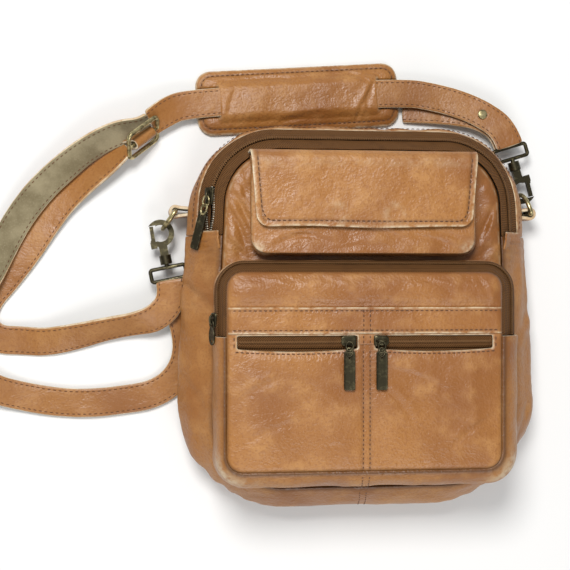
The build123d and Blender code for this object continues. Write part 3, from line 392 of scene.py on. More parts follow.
def add_block(centre, axes, half, verts, faces):
    """Adds one small block with chamfered long edges to lists of corners and faces."""
    profile = ((-1, -0.55), (-0.55, -1), (0.55, -1), (1, -0.55), (1, 0.55), (0.55, 1), (-0.55, 1),
               (-1, 0.55))
    faces += tube_faces(2, len(profile), len(verts))
    for s in (-1, 1):
        for a, b in profile:
            verts.append(centre + s * half[0] * axes[0] + a * half[1] * axes[1] + b * half[2] * axes[2])


def zip_teeth(name, line, across, out, gap, material, tooth=(2.1, 0.46, 0.95)):
    """Two rows of teeth along a dense line. across and out are unit ways at each point, and gap is
    how far each row stands from the middle: a closed zip's rows reach past it and interlock."""
    verts, faces = [], []
    steps = travelled(line)
    count = int(steps[-1] // TOOTH_PITCH)
    for row in (-1, 1):
        for k in range(count):
            at = (k + (0.25 if row < 0 else 0.75)) * steps[-1] / count
            ahead = unit(between(at + 0.5, steps, line) - between(at - 0.5, steps, line))
            side, rise = between(at, steps, across), between(at, steps, out)
            off = np.interp(at, steps, gap) + tooth[0] / 2 - 0.45
            centre = between(at, steps, line) + row * side * off + rise * 0.7
            add_block(centre, (side, ahead, rise), (tooth[0] / 2, tooth[1], tooth[2] / 2), verts, faces)
    return make(name, verts, faces, [material])


# ------------------------------------------------------------------ strap
def spline_points(name, route):
    """Points read from the route's own smooth spline."""
    data = bpy.data.curves.new(name, "CURVE")
    data.dimensions = "3D"
    data.resolution_u = 10
    spline = data.splines.new("NURBS")
    spline.points.add(len(route) - 1)
    for point, place in zip(spline.points, route):
        point.co = (*place, 1.0)
    spline.order_u = 3
    spline.use_endpoint_u = True
    guide = add_object(name, data)
    mesh = bpy.data.meshes.new_from_object(guide)
    points = np.array([tuple(v.co) for v in mesh.vertices]) * 1000
    bpy.data.meshes.remove(mesh)
    bpy.data.objects.remove(guide)
    bpy.data.curves.remove(data)
    return points


def strap_section():
    """The strap's cross-section: (across, up, face kind) with kinds 0 top, 1 cut edge, 2 underside."""
    half, thick = 11.0, 1.5
    top = [(x, thick * (0.82 if abs(x) > 10 else 0.93 if abs(abs(x) - 8.6) < 0.4 else 1.06), 0)
           for x in (10.7, 9.6, 8.6, 7.6, 4, 0, -4, -7.6, -8.6, -9.6, -10.7)]
    left = [(-half, 0.8, 1), (-half, -0.8, 1)]
    under = [(-x, -z, 2) for x, z, kind in top]
    right = [(half, -0.8, 1), (half, 0.8, 1)]
    return top + left + under + right


def ribbon(name, route, rolls, sway=0.0, seed=0.0):
    """A flat strap along a route's spline. rolls are (share of its length, degrees that it turns over)."""
    centre = spline_points(name + "_route", [tuple(c / 1000 for c in point) for point in route])
    steps = travelled(centre)
    dense = np.linspace(0, steps[-1], max(int(steps[-1] / 2.5), 8))
    line = between(dense, steps, centre)
    way = unit(np.gradient(line, axis=0))
    roll = np.radians(np.interp(dense / steps[-1], [r[0] for r in rolls], [r[1] for r in rolls]))
    kernel = np.hanning(15)
    roll = np.convolve(np.pad(roll, 7, mode="edge"), kernel / kernel.sum(), mode="valid")
    if sway:
        roll = roll + np.radians(sway) * ripple(line, 42, seed)
    flat = unit(np.cross(np.array([0, 0, 1.0]), way))
    side = flat * np.cos(roll)[:, None] + np.cross(way, flat) * np.sin(roll)[:, None]
    rise = np.cross(way, side)
    section = strap_section()
    cols = len(section)
    verts = [here + s * across + r * height
             for here, s, r in zip(line, side, rise) for across, height, kind in section]
    faces, kinds = [], []
    for i in range(len(line) - 1):
        for j in range(cols):
            k = (j + 1) % cols
            faces.append((i * cols + j, (i + 1) * cols + j, (i + 1) * cols + k, i * cols + k))
            kinds.append(section[j][2] if section[j][2] == section[k][2] else 1)
    faces.append(tuple(range(cols)))
    faces.append(tuple((len(line) - 1) * cols + k for k in reversed(range(cols))))
    kinds += [1, 1]
    rub = np.array([[0.45 if abs(across) > 10.8 else 0.0 for across, height, kind in section]] * len(line))
    rub = rub * (0.6 + 0.5 * ripple(np.repeat(line[:, None], cols, axis=1), 25, 3.0))
    piece = held(make(name, verts, faces, STRAP, kinds, wear=rub), "bag")
    smooth(piece)
    for edge in (-8.6, 8.6):
        for face in (-1, 1):
            stitch("bag", line + side * edge + rise * face * 1.35, rise * face, pitch=4.2, long=2.9,
                   thick=0.4)
    return piece, [tuple(point / 1000) for point in line]


PAD_RIGHT = (42.8, 176.4, 9.0)
PAD_LEFT = (-129.8, 164.4, 9.0)
PAD_MID = (-43.5, 170.4, 9.0)
RIGHT_LEAD = (120.8, 147.66, 17.0)
RIGHT_BAR = (125.19, 133.32)
LEFT_LEAD = (-139.9945, 13.5496)
LEFT_BAR = (-142.9945, 28.2466)
UPPER = [(RIGHT_BAR[0], RIGHT_BAR[1], 18.7), RIGHT_LEAD, (104, 159.5, 14.4), (86, 167.5, 11.8),
         (65, 173, 10),
         PAD_RIGHT, PAD_MID, PAD_LEFT, (-146, 157.5, 11.5), (-158, 148, 15)]
OUTER = [(-158, 148, 15), (-165, 142.5, 17), (-179, 141, 16), (-193, 135.5, 14), (-209, 125.5, 12),
         (-224, 113, 10),
         (-240, 98, 8.5), (-254, 80.5, 7.5), (-266, 60, 7), (-277, 36, 9), (-290, 9, 13), (-301, -19, 14),
         (-295, -43, 12), (-275, -56, 6), (-254, -61.5, 2.6), (-231, -66, 2.2), (-205, -67.5, 2.2),
         (-179, -65, 2.2), (-156, -61.5, 2.2), (-138, -50, 2.8), (-129, -31, 4.5), (-131, -8, 7),
         (*LEFT_LEAD, 10.6), (*LEFT_BAR, 12.3)]
INNER = [(*LEFT_BAR, 18.7), (*LEFT_LEAD, 17.4), (-153, -2, 14.5), (-171, -6, 12), (-191, -9.5, 10),
         (-212, -15, 7.5),
         (-237, -20, 4), (-256, -18.5, 2.2), (-274, -18, 2.2), (-286, -6, 2.2), (-282, 12, 2.2),
         (-268, 28, 2.2),
         (-253, 47.5, 2.2), (-239, 69, 2.2), (-226, 87, 3), (-210, 102, 5), (-192, 116, 7.5),
         (-176, 131, 10.5)]
TAIL = [(RIGHT_BAR[0], RIGHT_BAR[1], 12.3), (120.8, 147.66, 12), (103, 158.5, 10.6), (84, 162, 7.4),
        (63, 163.8, 4.2), (41.5, 164.2, 2.2)]

upper, upper_path = ribbon("strap_upper_run", UPPER, [(0, 0), (0.30, 0), (0.84, 0), (0.94, -12), (1.0, -38)])
outer, outer_path = ribbon("strap_outer_run", OUTER,
                           [(0, 128), (0.04, 138), (0.12, 150), (0.24, 176), (0.35, 184), (0.44, 268),
                            (0.53, 352),
                            (0.62, 358), (1.0, 360)], sway=7, seed=4.0)
inner, inner_path = ribbon("strap_inner_run", INNER,
                           [(0, 0), (0.06, 0), (0.14, -42), (0.24, -34), (0.33, -14), (0.42, -3), (0.60, 0),
                            (0.72, -8),
                            (0.84, -22), (1.0, -46)], sway=6, seed=8.0)
tail, tail_path = ribbon("strap_tail_run", TAIL, [(0, 0), (1.0, 3)])

# ------------------------------------------------------------------ the bag's shell
BACK = (0.0, 104.0, 108.0, 116.0, -116.0, 55.0, 55.0)
BELLY = (28.0, 130.0, 144.0, 145.0, -145.0, 75.0, 85.0)
REAR_EDGE = (42.0, 119.0, 138.0, 143.0, -141.0, 57.0, 80.0)
FRONT_EDGE = (60.0, 103.0, 114.0, 125.0, -127.0, 42.0, 50.0)
HULL = np.array([BACK, BELLY, REAR_EDGE, FRONT_EDGE])
ZIP_END = 61.0


def hull_row(z, spread=5.0):
    samples = np.clip([z - spread, z - spread / 2, z, z + spread / 2, z + spread], 0, 60)
    return [float(np.mean(np.interp(samples, HULL[:, 0], HULL[:, k]))) for k in range(1, 7)]


def arc_ring(corners, radii, arc=14):
    """A closed dense line round a polygon, counter-clockwise, with its corners rounded."""
    points = []
    count = len(corners)
    for k in range(count):
        here = np.array(corners[k], float)
        before = np.array(corners[k - 1], float) - here
        after = np.array(corners[(k + 1) % count], float) - here
        before /= np.linalg.norm(before)
        after /= np.linalg.norm(after)
        half = math.acos(float(np.clip(before @ after, -1, 1))) / 2
        radius = radii[k]
        centre = here + (before + after) / np.linalg.norm(before + after) * radius / math.sin(half)
        start = here + before * radius / math.tan(half) - centre
        end = here + after * radius / math.tan(half) - centre
        first, last = math.atan2(start[1], start[0]), math.atan2(end[1], end[0])
        while last < first:
            last += 2 * math.pi
        for s in range(arc + 1):
            angle = first + (last - first) * s / arc
            points.append(centre + radius * np.array([math.cos(angle), math.sin(angle)]))
    return np.array(points)


def cut_ring(ring, level, low):
    """The part of a closed counter-clockwise line below (or above) y = level, with exact ends."""
    count = len(ring)
    crossings = {}
    for k in range(count):
        a, b = ring[k], ring[(k + 1) % count]
        if (a[1] >= level) != (b[1] >= level):
            share = (level - a[1]) / (b[1] - a[1])
            crossings["down" if a[1] >= level else "up"] = (k, a + (b - a) * share)
    start, end = (crossings["down"], crossings["up"]) if low else (crossings["up"], crossings["down"])
    points = [start[1]]
    k = (start[0] + 1) % count
    while True:
        points.append(ring[k])
        if k == end[0]:
            break
        k = (k + 1) % count
    points.append(end[1])
    return np.array(points)


def part_of(ring, part, level, count):
    """A closed ring from its lowest point round, or its "low" or "top" part below or above y = level."""
    if part == "all":
        start = int(np.argmin(ring[:, 1] + 0.001 * ring[:, 0]))
        return resample(np.roll(ring, -start, axis=0), count, closed=True)
    return resample(cut_ring(ring, level, part == "low"), count)


def hull_line(z, inset, part, count):
    """Round the bag at height z."""
    half_top, half_bottom, top, bottom, r_top, r_bottom = hull_row(z)
    corners = [(-half_bottom + inset, bottom + inset), (half_bottom - inset, bottom + inset),
               (half_top - inset, top - inset), (-half_top + inset, top - inset)]
    ring = arc_ring(corners, [max(r - inset, 6) for r in (r_bottom, r_bottom, r_top, r_top)])
    return np.c_[part_of(ring, part, ZIP_END, count), np.full(count, z)]


def wall(stations, part, count):
    """A grid round the bag from its (height, inset) stations."""
    return np.array([hull_line(z, inset, part, count) for z, inset in stations])


def near_ends(x, y):
    """How near a place is to either end of the main zip."""
    return np.exp(-((np.abs(x) - 122) / 22) ** 2 - ((y - 66) / 24) ** 2)


# Side and bottom: from the back seam round the belly to the front panel's seam.
low_rows = [(0.5, 3.4), (1.4, 1.2), (3.2, 0.3), *((z, 0.0) for z in np.arange(6, 55, 2.4)),
            (56.4, 0.2), (58.4, 0.7), (59.8, 1.8)]
side = wall(low_rows, "low", 420)
x, y, z = side[..., 0], side[..., 1], side[..., 2]
sag = 1.1 + 1.2 * ripple(side, 46, 2.0) + 0.5 * ripple(side, 15, 5.0)
sag = sag + 0.45 * ripple(side * np.array([0.45, 2.2, 0.45]), 8, 8.0) * hump(z, 44, 22)
folds = 0.9 * np.sin(x * 0.42 + 5 * ripple(side, 60, 1.0)) * hump(z, 30, 16)
folds = folds * np.clip((np.abs(x) - 60) / 60, 0, 1)
pucker = 1.6 * near_ends(x, y) * np.sin(y * 0.9 + 2.5 * ripple(side, 25, 3.0)) * hump(z, 48, 14)
folds = folds + creases(x, y, (((-140, 30), (-104, -8), 3.0, 1.6), ((-138, -40), (-112, -86), 2.6, 1.2),
                               ((140, 22), (118, -20), 2.8, 1.5), ((134, -62), (112, -104), 3.0, 1.3)))
fade = np.clip((z - 3) / 10, 0, 1) * np.clip((60.5 - z) / 7, 0, 1)
side = pushed(side, (sag + folds + pucker) * fade)
rub = 0.3 * hump(z, 3, 2.0) + 0.12 * np.clip(ripple(side, 30, 9.0), 0, 1)
# Painted shade: darker near the main zip's ends, low down by the floor and in the seam along the front panel.
painted_shade = 0.5 * near_ends(x, y) * hump(z, 54, 5) + 0.3 * hump(z, 7, 4) + 0.9 * hump(z, 59.6, 1.3)
gusset = sheet_of("side_gusset", side, LEATHER, 1.8, wear=rub, shade=painted_shade, rim=0)
held(gusset, "bag", "side_and_bottom_gusset")

# Strip behind the zip, over the top.
top_rows = [(0.5, 3.4), (1.4, 1.2), (3.2, 0.3), *((z, 0.0) for z in np.arange(6, 40, 2.6)),
            (40.2, 0.0), (41.6, 0.4)]
strip = wall(top_rows, "top", 190)
x, y, z = strip[..., 0], strip[..., 1], strip[..., 2]
waves = 0.9 * ripple(strip, 34, 6.0) + 0.4 * ripple(strip, 12, 2.0)
waves = waves + 0.7 * np.sin(x * 0.21 + 3 * ripple(strip, 50, 1.0)) * hump(z, 34, 8)
strip = pushed(strip, waves * np.clip((z - 3) / 10, 0, 1) * np.clip((44 - z) / 8, 0.25, 1))
rub = 0.9 * hump(z, 41.6, 0.8) + 0.15 * hump(z, 36, 3) * (0.5 + 0.5 * ripple(strip, 26, 4.0))
top_strip = sheet_of("top_strip", strip, LEATHER, 1.8, wear=rub)
held(top_strip, "bag", "rear_top_strip")
line = hull_line(38.4, -0.35, "top", 400)
stitch("bag", line[6:-6], normals_of(np.array([hull_line(37.4, 0, "top", 400), line]))[1][6:-6], pitch=4.0)

# Back, which the bag lies on: one plate with a stitched seam round it.
def plate_rings(ring_at, shares, height_at, count):
    """Rings from an outline to its middle line, as a closed grid."""
    rim = ring_at(count)
    half_x, half_y = np.abs(rim[:, 0]).max(), np.abs(rim[:, 1] - rim[:, 1].mean()).max()
    middle_y = (rim[:, 1].max() + rim[:, 1].min()) / 2
    core = min(half_x, half_y) * 0.86
    spine = np.c_[np.clip(rim[:, 0], -(half_x - core), half_x - core),
                  middle_y + np.clip(rim[:, 1] - middle_y, -(half_y - core), half_y - core)]
    rows = []
    for share in shares:
        flat = spine + (rim[:, :2] - spine) * share
        rows.append(np.c_[flat, height_at(flat[:, 0], flat[:, 1], share)])
    return np.array(rows)


shares = [1.0, 0.985, 0.965, 0.94, 0.92, 0.90] + list(np.linspace(0.87, 0.03, 22)) + [0.0]
back = plate_rings(lambda n: hull_line(0.6, 3.6, "all", n), shares,
                   lambda px, py, s: np.full(len(px), 0.55 if s > 0.99 else 0.35 if s > 0.93 else 0.12), 180)
back = back[::-1]
back_plate = sheet_of("back_plate", back, LEATHER, 1.4, closed=True, offset=1.0,
                      wear=np.repeat(np.array([0.8 * hump(s, 1.0, 0.05) + 0.25
                                               for s in shares])[::-1, None], 180, axis=1))
back_plate.data.flip_normals()
back_plate.modifiers["thick"].offset = -1.0
held(back_plate, "bag", "back_panel")
edge = hull_line(0.6, 7.5, "all", 500)
stitch("bag", np.c_[edge[:, :2], np.full(500, 0.34)], (0, 0, -1), pitch=4.0)

# Cloth lining: a tray that stands clear of the leather's folds.
LINING_IN, LINING_FLOOR, LINING_RIM = 7.0, 2.4, 38.0
tray_floor = plate_rings(lambda n: hull_line(LINING_FLOOR, LINING_IN + 1, "all", n),
                         [1.0, 0.97, *np.linspace(0.9, 0.0, 12)],
                         lambda px, py, s: np.full(len(px), LINING_FLOOR), 180)
tray_wall = wall([(z, LINING_IN) for z in np.linspace(LINING_FLOOR + 1.2, LINING_RIM, 14)], "all", 180)
tray = np.concatenate([tray_floor[::-1], tray_wall])
tray[14:] = pushed(tray_wall, 0.6 * ripple(tray_wall, 18, 3.0))
piece = sheet_of("lining_cloth", tray, [LINING], 0.6, closed=True)
held(piece, "bag", "lining")


# Front panel: crowned, with creases where the leather bunches beside the pouch.
def front_height(px, py, share):
    base = 60.0 + 1.5 * (1 - share ** 3) - 2.2 * max(0.0, (share - 0.955) / 0.045) ** 1.6
    flat = on_floor(px, py)
    rise = base + 0.9 * ripple(flat, 30, 7.0) + 0.35 * ripple(flat, 10, 1.0)
    rise = rise + 0.9 * ripple(flat * np.array([0.45, 1.8, 1.0]), 7, 4.0) * hump(np.abs(px), 97, 12)
    edge = np.clip((0.99 - share) * 12, 0, 1)
    rise = rise + edge * creases(px, py, (
        ((-106, 100), (-84, 66), 2.2, 1.8), ((-104, 84), (-88, 52), 1.8, 1.4),
        ((-98, 118), (-88, 84), 2.0, 1.2),
        ((-110, 62), (-90, 44), 2.2, 1.5), ((104, 96), (88, 62), 2.2, 1.7), ((98, 84), (86, 54), 1.8, 1.3),
        ((108, 62), (88, 46), 2.2, 1.5), ((96, 118), (86, 92), 2.0, 1.1), ((-60, 49), (30, 43.5), 1.6, 0.8),
        ((20, 118), (92, 113), 1.8, 0.9), ((-92, 116), (-30, 119), 1.8, 0.9)))
    return rise + 1.3 * hump(share, 0.915, 0.045)


shares = list(np.linspace(1.0, 0.9, 10)) + list(np.linspace(0.885, 0.03, 52)) + [0.0]
front = plate_rings(lambda n: hull_line(60.0, 1.8, "all", n), shares, front_height, 320)
rub = np.repeat(np.array([0.45 * hump(s, 0.975, 0.006) for s in shares])[:, None], 320, axis=1)
# Painted shade in the seam round the rim and in the bunched creases beside the pouch.
bunch = np.exp(-((np.abs(front[..., 0]) - 96) / 12) ** 2 - ((front[..., 1] - 84) / 26) ** 2)
painted_shade = np.repeat(np.array([0.95 * hump(s, 1.0, 0.012) for s in shares])[:, None], 320, axis=1) + 0.12 * bunch
front_plate = sheet_of("front_plate", front, LEATHER, 1.8, closed=True, wear=rub, shade=painted_shade, rim=0)
held(front_plate, "bag", "front_panel", "flap_root_strip")


# Main zip: two woven tapes, teeth that gape between the slider and the zip's end, and end tabs.
def zip_strip(name, low, high, node):
    shares = np.linspace(0, 1, 25)
    tape = wall([(low + (high - low) * s,
                  1.0 - 0.3 * math.sin(math.pi * s) - 0.34 * math.cos(8 * math.pi * s))
                 for s in shares], "top", 260)
    x, y = tape[..., 0], tape[..., 1]
    lens = np.where((x < 0) & (y < 97), np.sin(np.pi * np.clip((y - ZIP_END) / 36, 0, 1)), 0)
    toward = shares[:, None]
    if low > 50:
        toward = 1 - toward
        tape[..., 2] += 2.6 * lens * toward
    else:
        tape[..., 2] -= 2.6 * lens * toward
    tape = pushed(tape, 0.35 * ripple(tape, 16, 3.0) - 0.5 * lens * toward)
    held(sheet_of(name, tape, [TAPE], 0.8), "bag", node)


def zip_line(middle, low, high):
    """A zip's middle line, with the unit ways across it and out of it."""
    across = unit(high - low)
    return middle, across, np.cross(unit(np.gradient(middle, axis=0)), across)


zip_strip("main_tape_rear", 41.0, 50.3, "main_zip_tape_rear")
zip_strip("main_tape_front", 51.7, 60.3, "main_zip_tape_front")
MAIN_COUNT, MAIN_OPEN_TOP, MAIN_GAPE = 1200, 97, 3.0
zip_mid, zip_across, zip_out = zip_line(*(hull_line(z, 0.35, "top", MAIN_COUNT) for z in (51.0, 48.0, 54.0)))
open_part = (zip_mid[:, 0] < 0) & (zip_mid[:, 1] < MAIN_OPEN_TOP)
gap = np.where(open_part, MAIN_GAPE * np.sin(np.pi * np.clip((zip_mid[:, 1] - ZIP_END) / 36, 0, 1)), 0)
for name, here, material, nodes in (("main_teeth", ~open_part, COIL, ["main_zip_teeth"]),
                                    ("main_teeth_open", open_part, TEETH_WORN, [])):
    held(zip_teeth(name, zip_mid[here], zip_across[here], zip_out[here], gap[here], material), "bag", *nodes)

for sign, label, nodes in ((-1, "left", ["main_zip_end_caps"]), (1, "right", [])):
    rows = []
    for z in np.linspace(41.0, 60.5, 12):
        ring = hull_line(z, -1.1, "all", 900)
        ring = ring[ring[:, 0] * sign > 0]
        rows.append([[np.interp(v, ring[np.argsort(ring[:, 1]), 1], ring[np.argsort(ring[:, 1]), 0]), v, z]
                     for v in np.linspace(50.6, 64.2, 15)])
    cap = np.array(rows)
    if sign < 0:
        cap = cap[:, ::-1]
    share = (cap[..., 1] - 50.6) / 13.6
    cap = pushed(cap, -0.9 + 2.4 * np.clip(share * 1.6, 0, 1) + 0.25 * ripple(cap, 6, sign * 3.0)
                 - 0.5 * hump(cap[..., 1], 60.4, 0.8))
    piece = sheet_of("zip_tab_" + label, cap, LEATHER, 1.7, wear=1.4 * np.clip(share * 12 - 11.0, 0, 1),
                     rim=0)
    held(piece, "bag", *nodes)


# ------------------------------------------------------------------ upper pouch
def rounded_map(u, v, half_x, half_y, radius, top_radius=None):
    """A place (u, v), each -1 to 1, on a rectangle whose corners are rounded."""
    x, y = u * half_x, v * half_y
    r = np.where(v > 0, radius if top_radius is None else top_radius, radius)
    a = np.clip((np.abs(x) - (half_x - r)) / np.maximum(r, 1e-6), 0, 1)
    b = np.clip((np.abs(y) - (half_y - r)) / np.maximum(r, 1e-6), 0, 1)
    inside = (a > 0) & (b > 0)
    new_a = np.where(inside, a * np.sqrt(1 - b * b / 2), a)
    new_b = np.where(inside, b * np.sqrt(1 - a * a / 2), b)
    x = np.where(a > 0, np.sign(x) * (half_x - r + new_a * r), x)
    y = np.where(b > 0, np.sign(y) * (half_y - r + new_b * r), y)
    return x, y


def edge_distance(x, y, half_x, half_y, radius):
    """How far a place lies inside the rim of such a rectangle."""
    in_x, in_y = np.abs(x) - (half_x - radius), np.abs(y) - (half_y - radius)
    return radius - np.where((in_x > 0) & (in_y > 0), np.hypot(in_x, in_y), np.maximum(in_x, in_y))


def spaced(count, ends=(0.004, 0.012, 0.022, 0.035)):
    """Shares from -1 to 1, closer together at both ends."""
    inner = np.linspace(-1 + ends[-1], 1 - ends[-1], count)
    return np.r_[-1, [-1 + e for e in ends[:-1]], inner, [1 - e for e in reversed(ends[:-1])], 1]


P_HALF, P_TOP, P_BOTTOM, P_BASE, P_FACE = 84.0, 107.0, 46.0, 60.4, 79.8
P_X = -3.0
P_EARS = 119.0  # the sides run on past the open top, to the flap
P_MID, P_TALL = (P_TOP + P_BOTTOM) / 2, (P_TOP - P_BOTTOM) / 2


def pouch_face(px, py):
    sideways = np.clip(1 - (px / P_HALF) ** 2, 0, 1)
    down = np.clip((P_TOP - py) / (P_TOP - P_BOTTOM), 0, 1)
    flat = on_floor(px, py)
    rise = P_FACE - 0.4 + 1.6 * sideways * np.clip((down - 0.62) * 2.4, 0, 1)
    waves = 0.9 * ripple(flat, 22, 3.0) + 0.4 * ripple(flat, 9, 6.0)
    rise = rise + waves * np.clip((down - 0.55) * 3, 0, 1)
    return rise + creases(px, py, (
        ((-70, 52), (-28, 62), 2.0, 1.3), ((-60, 60), (-20, 54), 1.8, 1.0), ((30, 60), (72, 50), 2.0, 1.3),
        ((4, 64), (36, 54), 1.8, 0.9), ((-20, 50), (22, 52), 1.6, 0.7), ((52, 62), (76, 57), 1.8, 0.9)))


u, v = np.meshgrid(spaced(90), spaced(40))
px, py = rounded_map(u, v, P_HALF - 0.8, P_TALL - 0.8, 12.0, 2.0)
py = py + P_MID
rim = np.maximum(np.abs(u), np.where(v < 0, -v, 0))
pz = pouch_face(px, py) - 2.0 * np.clip((rim - 0.975) / 0.025, 0, 1) ** 2
rub = 0.25 * np.clip((rim - 0.975) / 0.02, 0, 1) + 0.8 * hump(np.abs(px), 79, 6) * hump(py, 50, 5)
pouch = sheet_of("pouch_face", np.dstack([px + P_X, py, pz]), LEATHER, 1.6, wear=rub)
held(pouch, "bag", "pouch_front")


def u_line(half, top, bottom, radius, count):
    """Down the left side, round the bottom and up the right side of a pouch."""
    ring = arc_ring([(-half, bottom), (half, bottom), (half, top + 40), (-half, top + 40)],
                    [radius, radius, 5, 5])
    return resample(cut_ring(ring, top, True), count)


rows = []
for share in np.linspace(0, 1, 10):
    bulge = 2.2 * math.sin(math.pi * share) - 1.0 * share
    flat = u_line(P_HALF - 1.2 + bulge, P_EARS, P_BOTTOM + 1.2 - bulge, 12, 150)
    rows.append(np.c_[flat[:, 0] + P_X * share, flat[:, 1],
                      np.full(150, P_BASE + (P_FACE - 1.6 - P_BASE) * share)])
pouch_side = np.array(rows)
swell = 0.8 * hump(np.linspace(0, 1, 10), 0.5, 0.4)[:, None]
pouch_side = pushed(pouch_side, swell * ripple(pouch_side, 14, 2.0))
rub = 0.6 * hump(np.abs(pouch_side[..., 0]), 80, 8) * hump(pouch_side[..., 1], 50, 8)
piece = sheet_of("pouch_side", pouch_side, LEATHER, 1.6, wear=rub)
held(piece, "bag", "pouch_gusset")

# ------------------------------------------------------------------ flap
F_ROOT_Y, F_END_Y, F_TOP, F_LOW = 122.5, 66.0, 84.8, 61.7
F_X = -3.0
bend = [(F_ROOT_Y, F_LOW + s) for s in np.linspace(0, F_TOP - F_LOW - 9, 8)]
bend += [(F_ROOT_Y - 8.5 + 8.5 * math.cos(a), F_TOP - 8.5 + 8.5 * math.sin(a))
         for a in np.linspace(0, math.pi / 2, 10)[1:]]
bend += [(F_ROOT_Y - 8.5 - s, F_TOP) for s in np.linspace(0, F_ROOT_Y - 8.5 - F_END_Y, 40)[1:]]
bend = resample(np.array(bend), 90)
flap_len = travelled(bend)
u = spaced(90)
rows, worn, dark = [], [], []
for k, (by, bz) in enumerate(bend):
    down = flap_len[-1] - flap_len[k]
    half = 84.0 - 4.8 * (F_ROOT_Y - by) / (F_ROOT_Y - F_END_Y)
    corner = 9.0
    inset = corner - math.sqrt(max(corner ** 2 - max(corner - down, 0) ** 2, 0)) if down < corner else 0.0
    fx = u * (half - inset)
    flat = on_floor(fx, np.full(len(fx), by))
    lift = 0.9 * ripple(flat, 36, 4.0) + 0.35 * ripple(flat, 11, 9.0)
    lift = lift - 0.9 * np.abs(u) ** 6 * np.clip((bz - 78) / 6, 0, 1)
    lift = lift + 0.35 * sum(hump(np.hypot(fx - m, by - 76.0), 6.4, 2.4) for m in (-21, 21))
    on_top = np.clip((bz - 76) / 8, 0, 1)
    edge = np.minimum((1 - np.abs(u)) * half, down)
    dent = -0.5 * hump(edge, 4.6, 0.8) * on_top
    fy = by - 0.6 * np.sin(fx * 0.06 + 1.0) * np.clip(1 - down / 25, 0, 1)
    rows.append(np.c_[fx + F_X, fy, bz + (lift * 0.8 + dent) * on_top])
    bend_rub = 0.22 * hump(by, 114, 5) * (0.5 + 0.5 * ripple(flat, 9, 5.0))
    snap_rub = 0.22 * sum(hump(np.hypot(fx - m, by - 76.0), 6.0, 2.5) for m in (-21, 21))
    worn.append(np.clip(1.1 - edge / 2.0, 0, 1) + bend_rub + snap_rub)
    # Painted shade along the groove that the flap's stitches sit in.
    dark.append(0.45 * hump(edge, 4.4, 0.9))
flap_grid = np.array(rows)[:, ::-1]
flap = sheet_of("flap_leather", flap_grid, LEATHER, 1.8, wear=np.array(worn)[:, ::-1],
                shade=np.array(dark)[:, ::-1])
held(flap, "flap", "flap")


def flap_line(points):
    """Points of the flap's outer side from (x, y)."""
    lift = 0.63 * ripple(on_floor(points[:, 0], points[:, 1]), 36, 4.0)
    return np.c_[points[:, 0] + F_X, points[:, 1], F_TOP - 0.3 + lift]


left_side = [(-(84 - 4.8 * (F_ROOT_Y - b) / 56.5) + 4.4, b) for b in np.linspace(117, 77, 30)]
bottom_turn = [(-79.2 + 4.4 + 7 - 7 * math.cos(a), 70.4 + 7 - 7 * math.sin(a))
               for a in np.linspace(0, math.pi / 2, 8)]
half_run = left_side + bottom_turn
whole_run = half_run + [(-a, b) for a, b in reversed(half_run)]
stitch("flap", flap_line(resample(np.array(whole_run), 400)), pitch=3.8)

# ------------------------------------------------------------------ lower box pocket
O_HALF, O_TOP, O_BOTTOM, O_RADIUS = 112.0, 41.5, -122.0, 22.0
N_HALF, N_TOP, N_BOTTOM, N_RADIUS = 101.0, 34.0, -110.0, 13.0
O_END = -13.0
N_X = -4.5


def org_line(share, part, count, out=0.0):
    """Round the box pocket at a share of the way from its foot's outline to its panel's."""
    foot, panel = (np.array(size)
                   for size in ((O_HALF, O_TOP, O_BOTTOM, O_RADIUS), (N_HALF, N_TOP, N_BOTTOM, N_RADIUS)))
    half, top, bottom, radius = foot + (panel - foot) * share + np.array([1, 1, -1, 1]) * out
    ring = arc_ring([(-half, bottom), (half, bottom), (half, top), (-half, top)],
                    [radius] * 4) + (N_X * share, 0.0)
    return part_of(ring, part, O_END, count)


def org_wall(stations, part, count):
    """A grid round the box pocket from its (height, share, how far out) stations."""
    return np.array([np.c_[org_line(share, part, count, out), np.full(count, z)]
                     for z, share, out in stations])


# The wall's section: (height, share of the way in to the panel, how far it swells out).
low_section = [(60.3, 0.0, -0.6), (62.5, 0.0, 0.4), (66, 0.0, 1.2), (70, 0.02, 1.8), (74, 0.06, 2.0),
               (78, 0.14, 2.2),
               (81.5, 0.25, 2.3), (84.5, 0.38, 2.3), (87.2, 0.53, 2.2), (89.4, 0.68, 2.0),
               (91.2, 0.82, 1.4), (92.4, 0.93, 0.4),
               (91.6, 0.99, -0.6), (90.2, 1.0, -1.0)]
wall_low = org_wall(low_section, "low", 300)
x, y, z = wall_low[..., 0], wall_low[..., 1], wall_low[..., 2]
wrinkle = 0.8 * ripple(wall_low, 24, 3.0) + 0.4 * ripple(wall_low, 9, 7.0)
wall_low = pushed(wall_low, wrinkle * np.clip((z - 61) / 5, 0, 1) * np.clip((92.4 - z) / 4, 0, 1))
corner = np.exp(-((np.abs(x) - 104) / 16) ** 2 - ((y + 112) / 14) ** 2)
rub = 0.85 * corner * hump(z, 85, 6)
# Painted shade at the wall's foot and in the crease where it meets the panel.
painted_shade = 0.5 * hump(z, 61, 2.0) + 0.95 * hump(z, 92.2, 0.8)
piece = sheet_of("box_wall", wall_low, LEATHER, 1.7, wear=rub, shade=painted_shade)
held(piece, "bag", "organiser_gusset")


def seam_down(grid, at_x, first=1, last=-1):
    """Points down a grid's bottom along x = at_x, and the outward way at each."""
    ways = normals_of(grid)
    points, outs = [], []
    for row, way in list(zip(grid, ways))[first:last]:
        here_x = at_x + 0.12 * (92 - row[0, 2])
        k = int(np.argmin(np.abs(row[:, 0] - here_x) + 1000 * (row[:, 1] > -60)))
        points.append((here_x, row[k, 1], row[k, 2]))
        outs.append(way[k])
    return resample(np.array(points), 60), np.array(outs).mean(axis=0)


for grid, first, last in ((wall_low, 2, -3), (side, 8, -2)):
    for seam in SEAMS:
        points, away = seam_down(grid, N_X + seam, first, last)
        stitch("bag", points, away, **SEAM_STITCH)

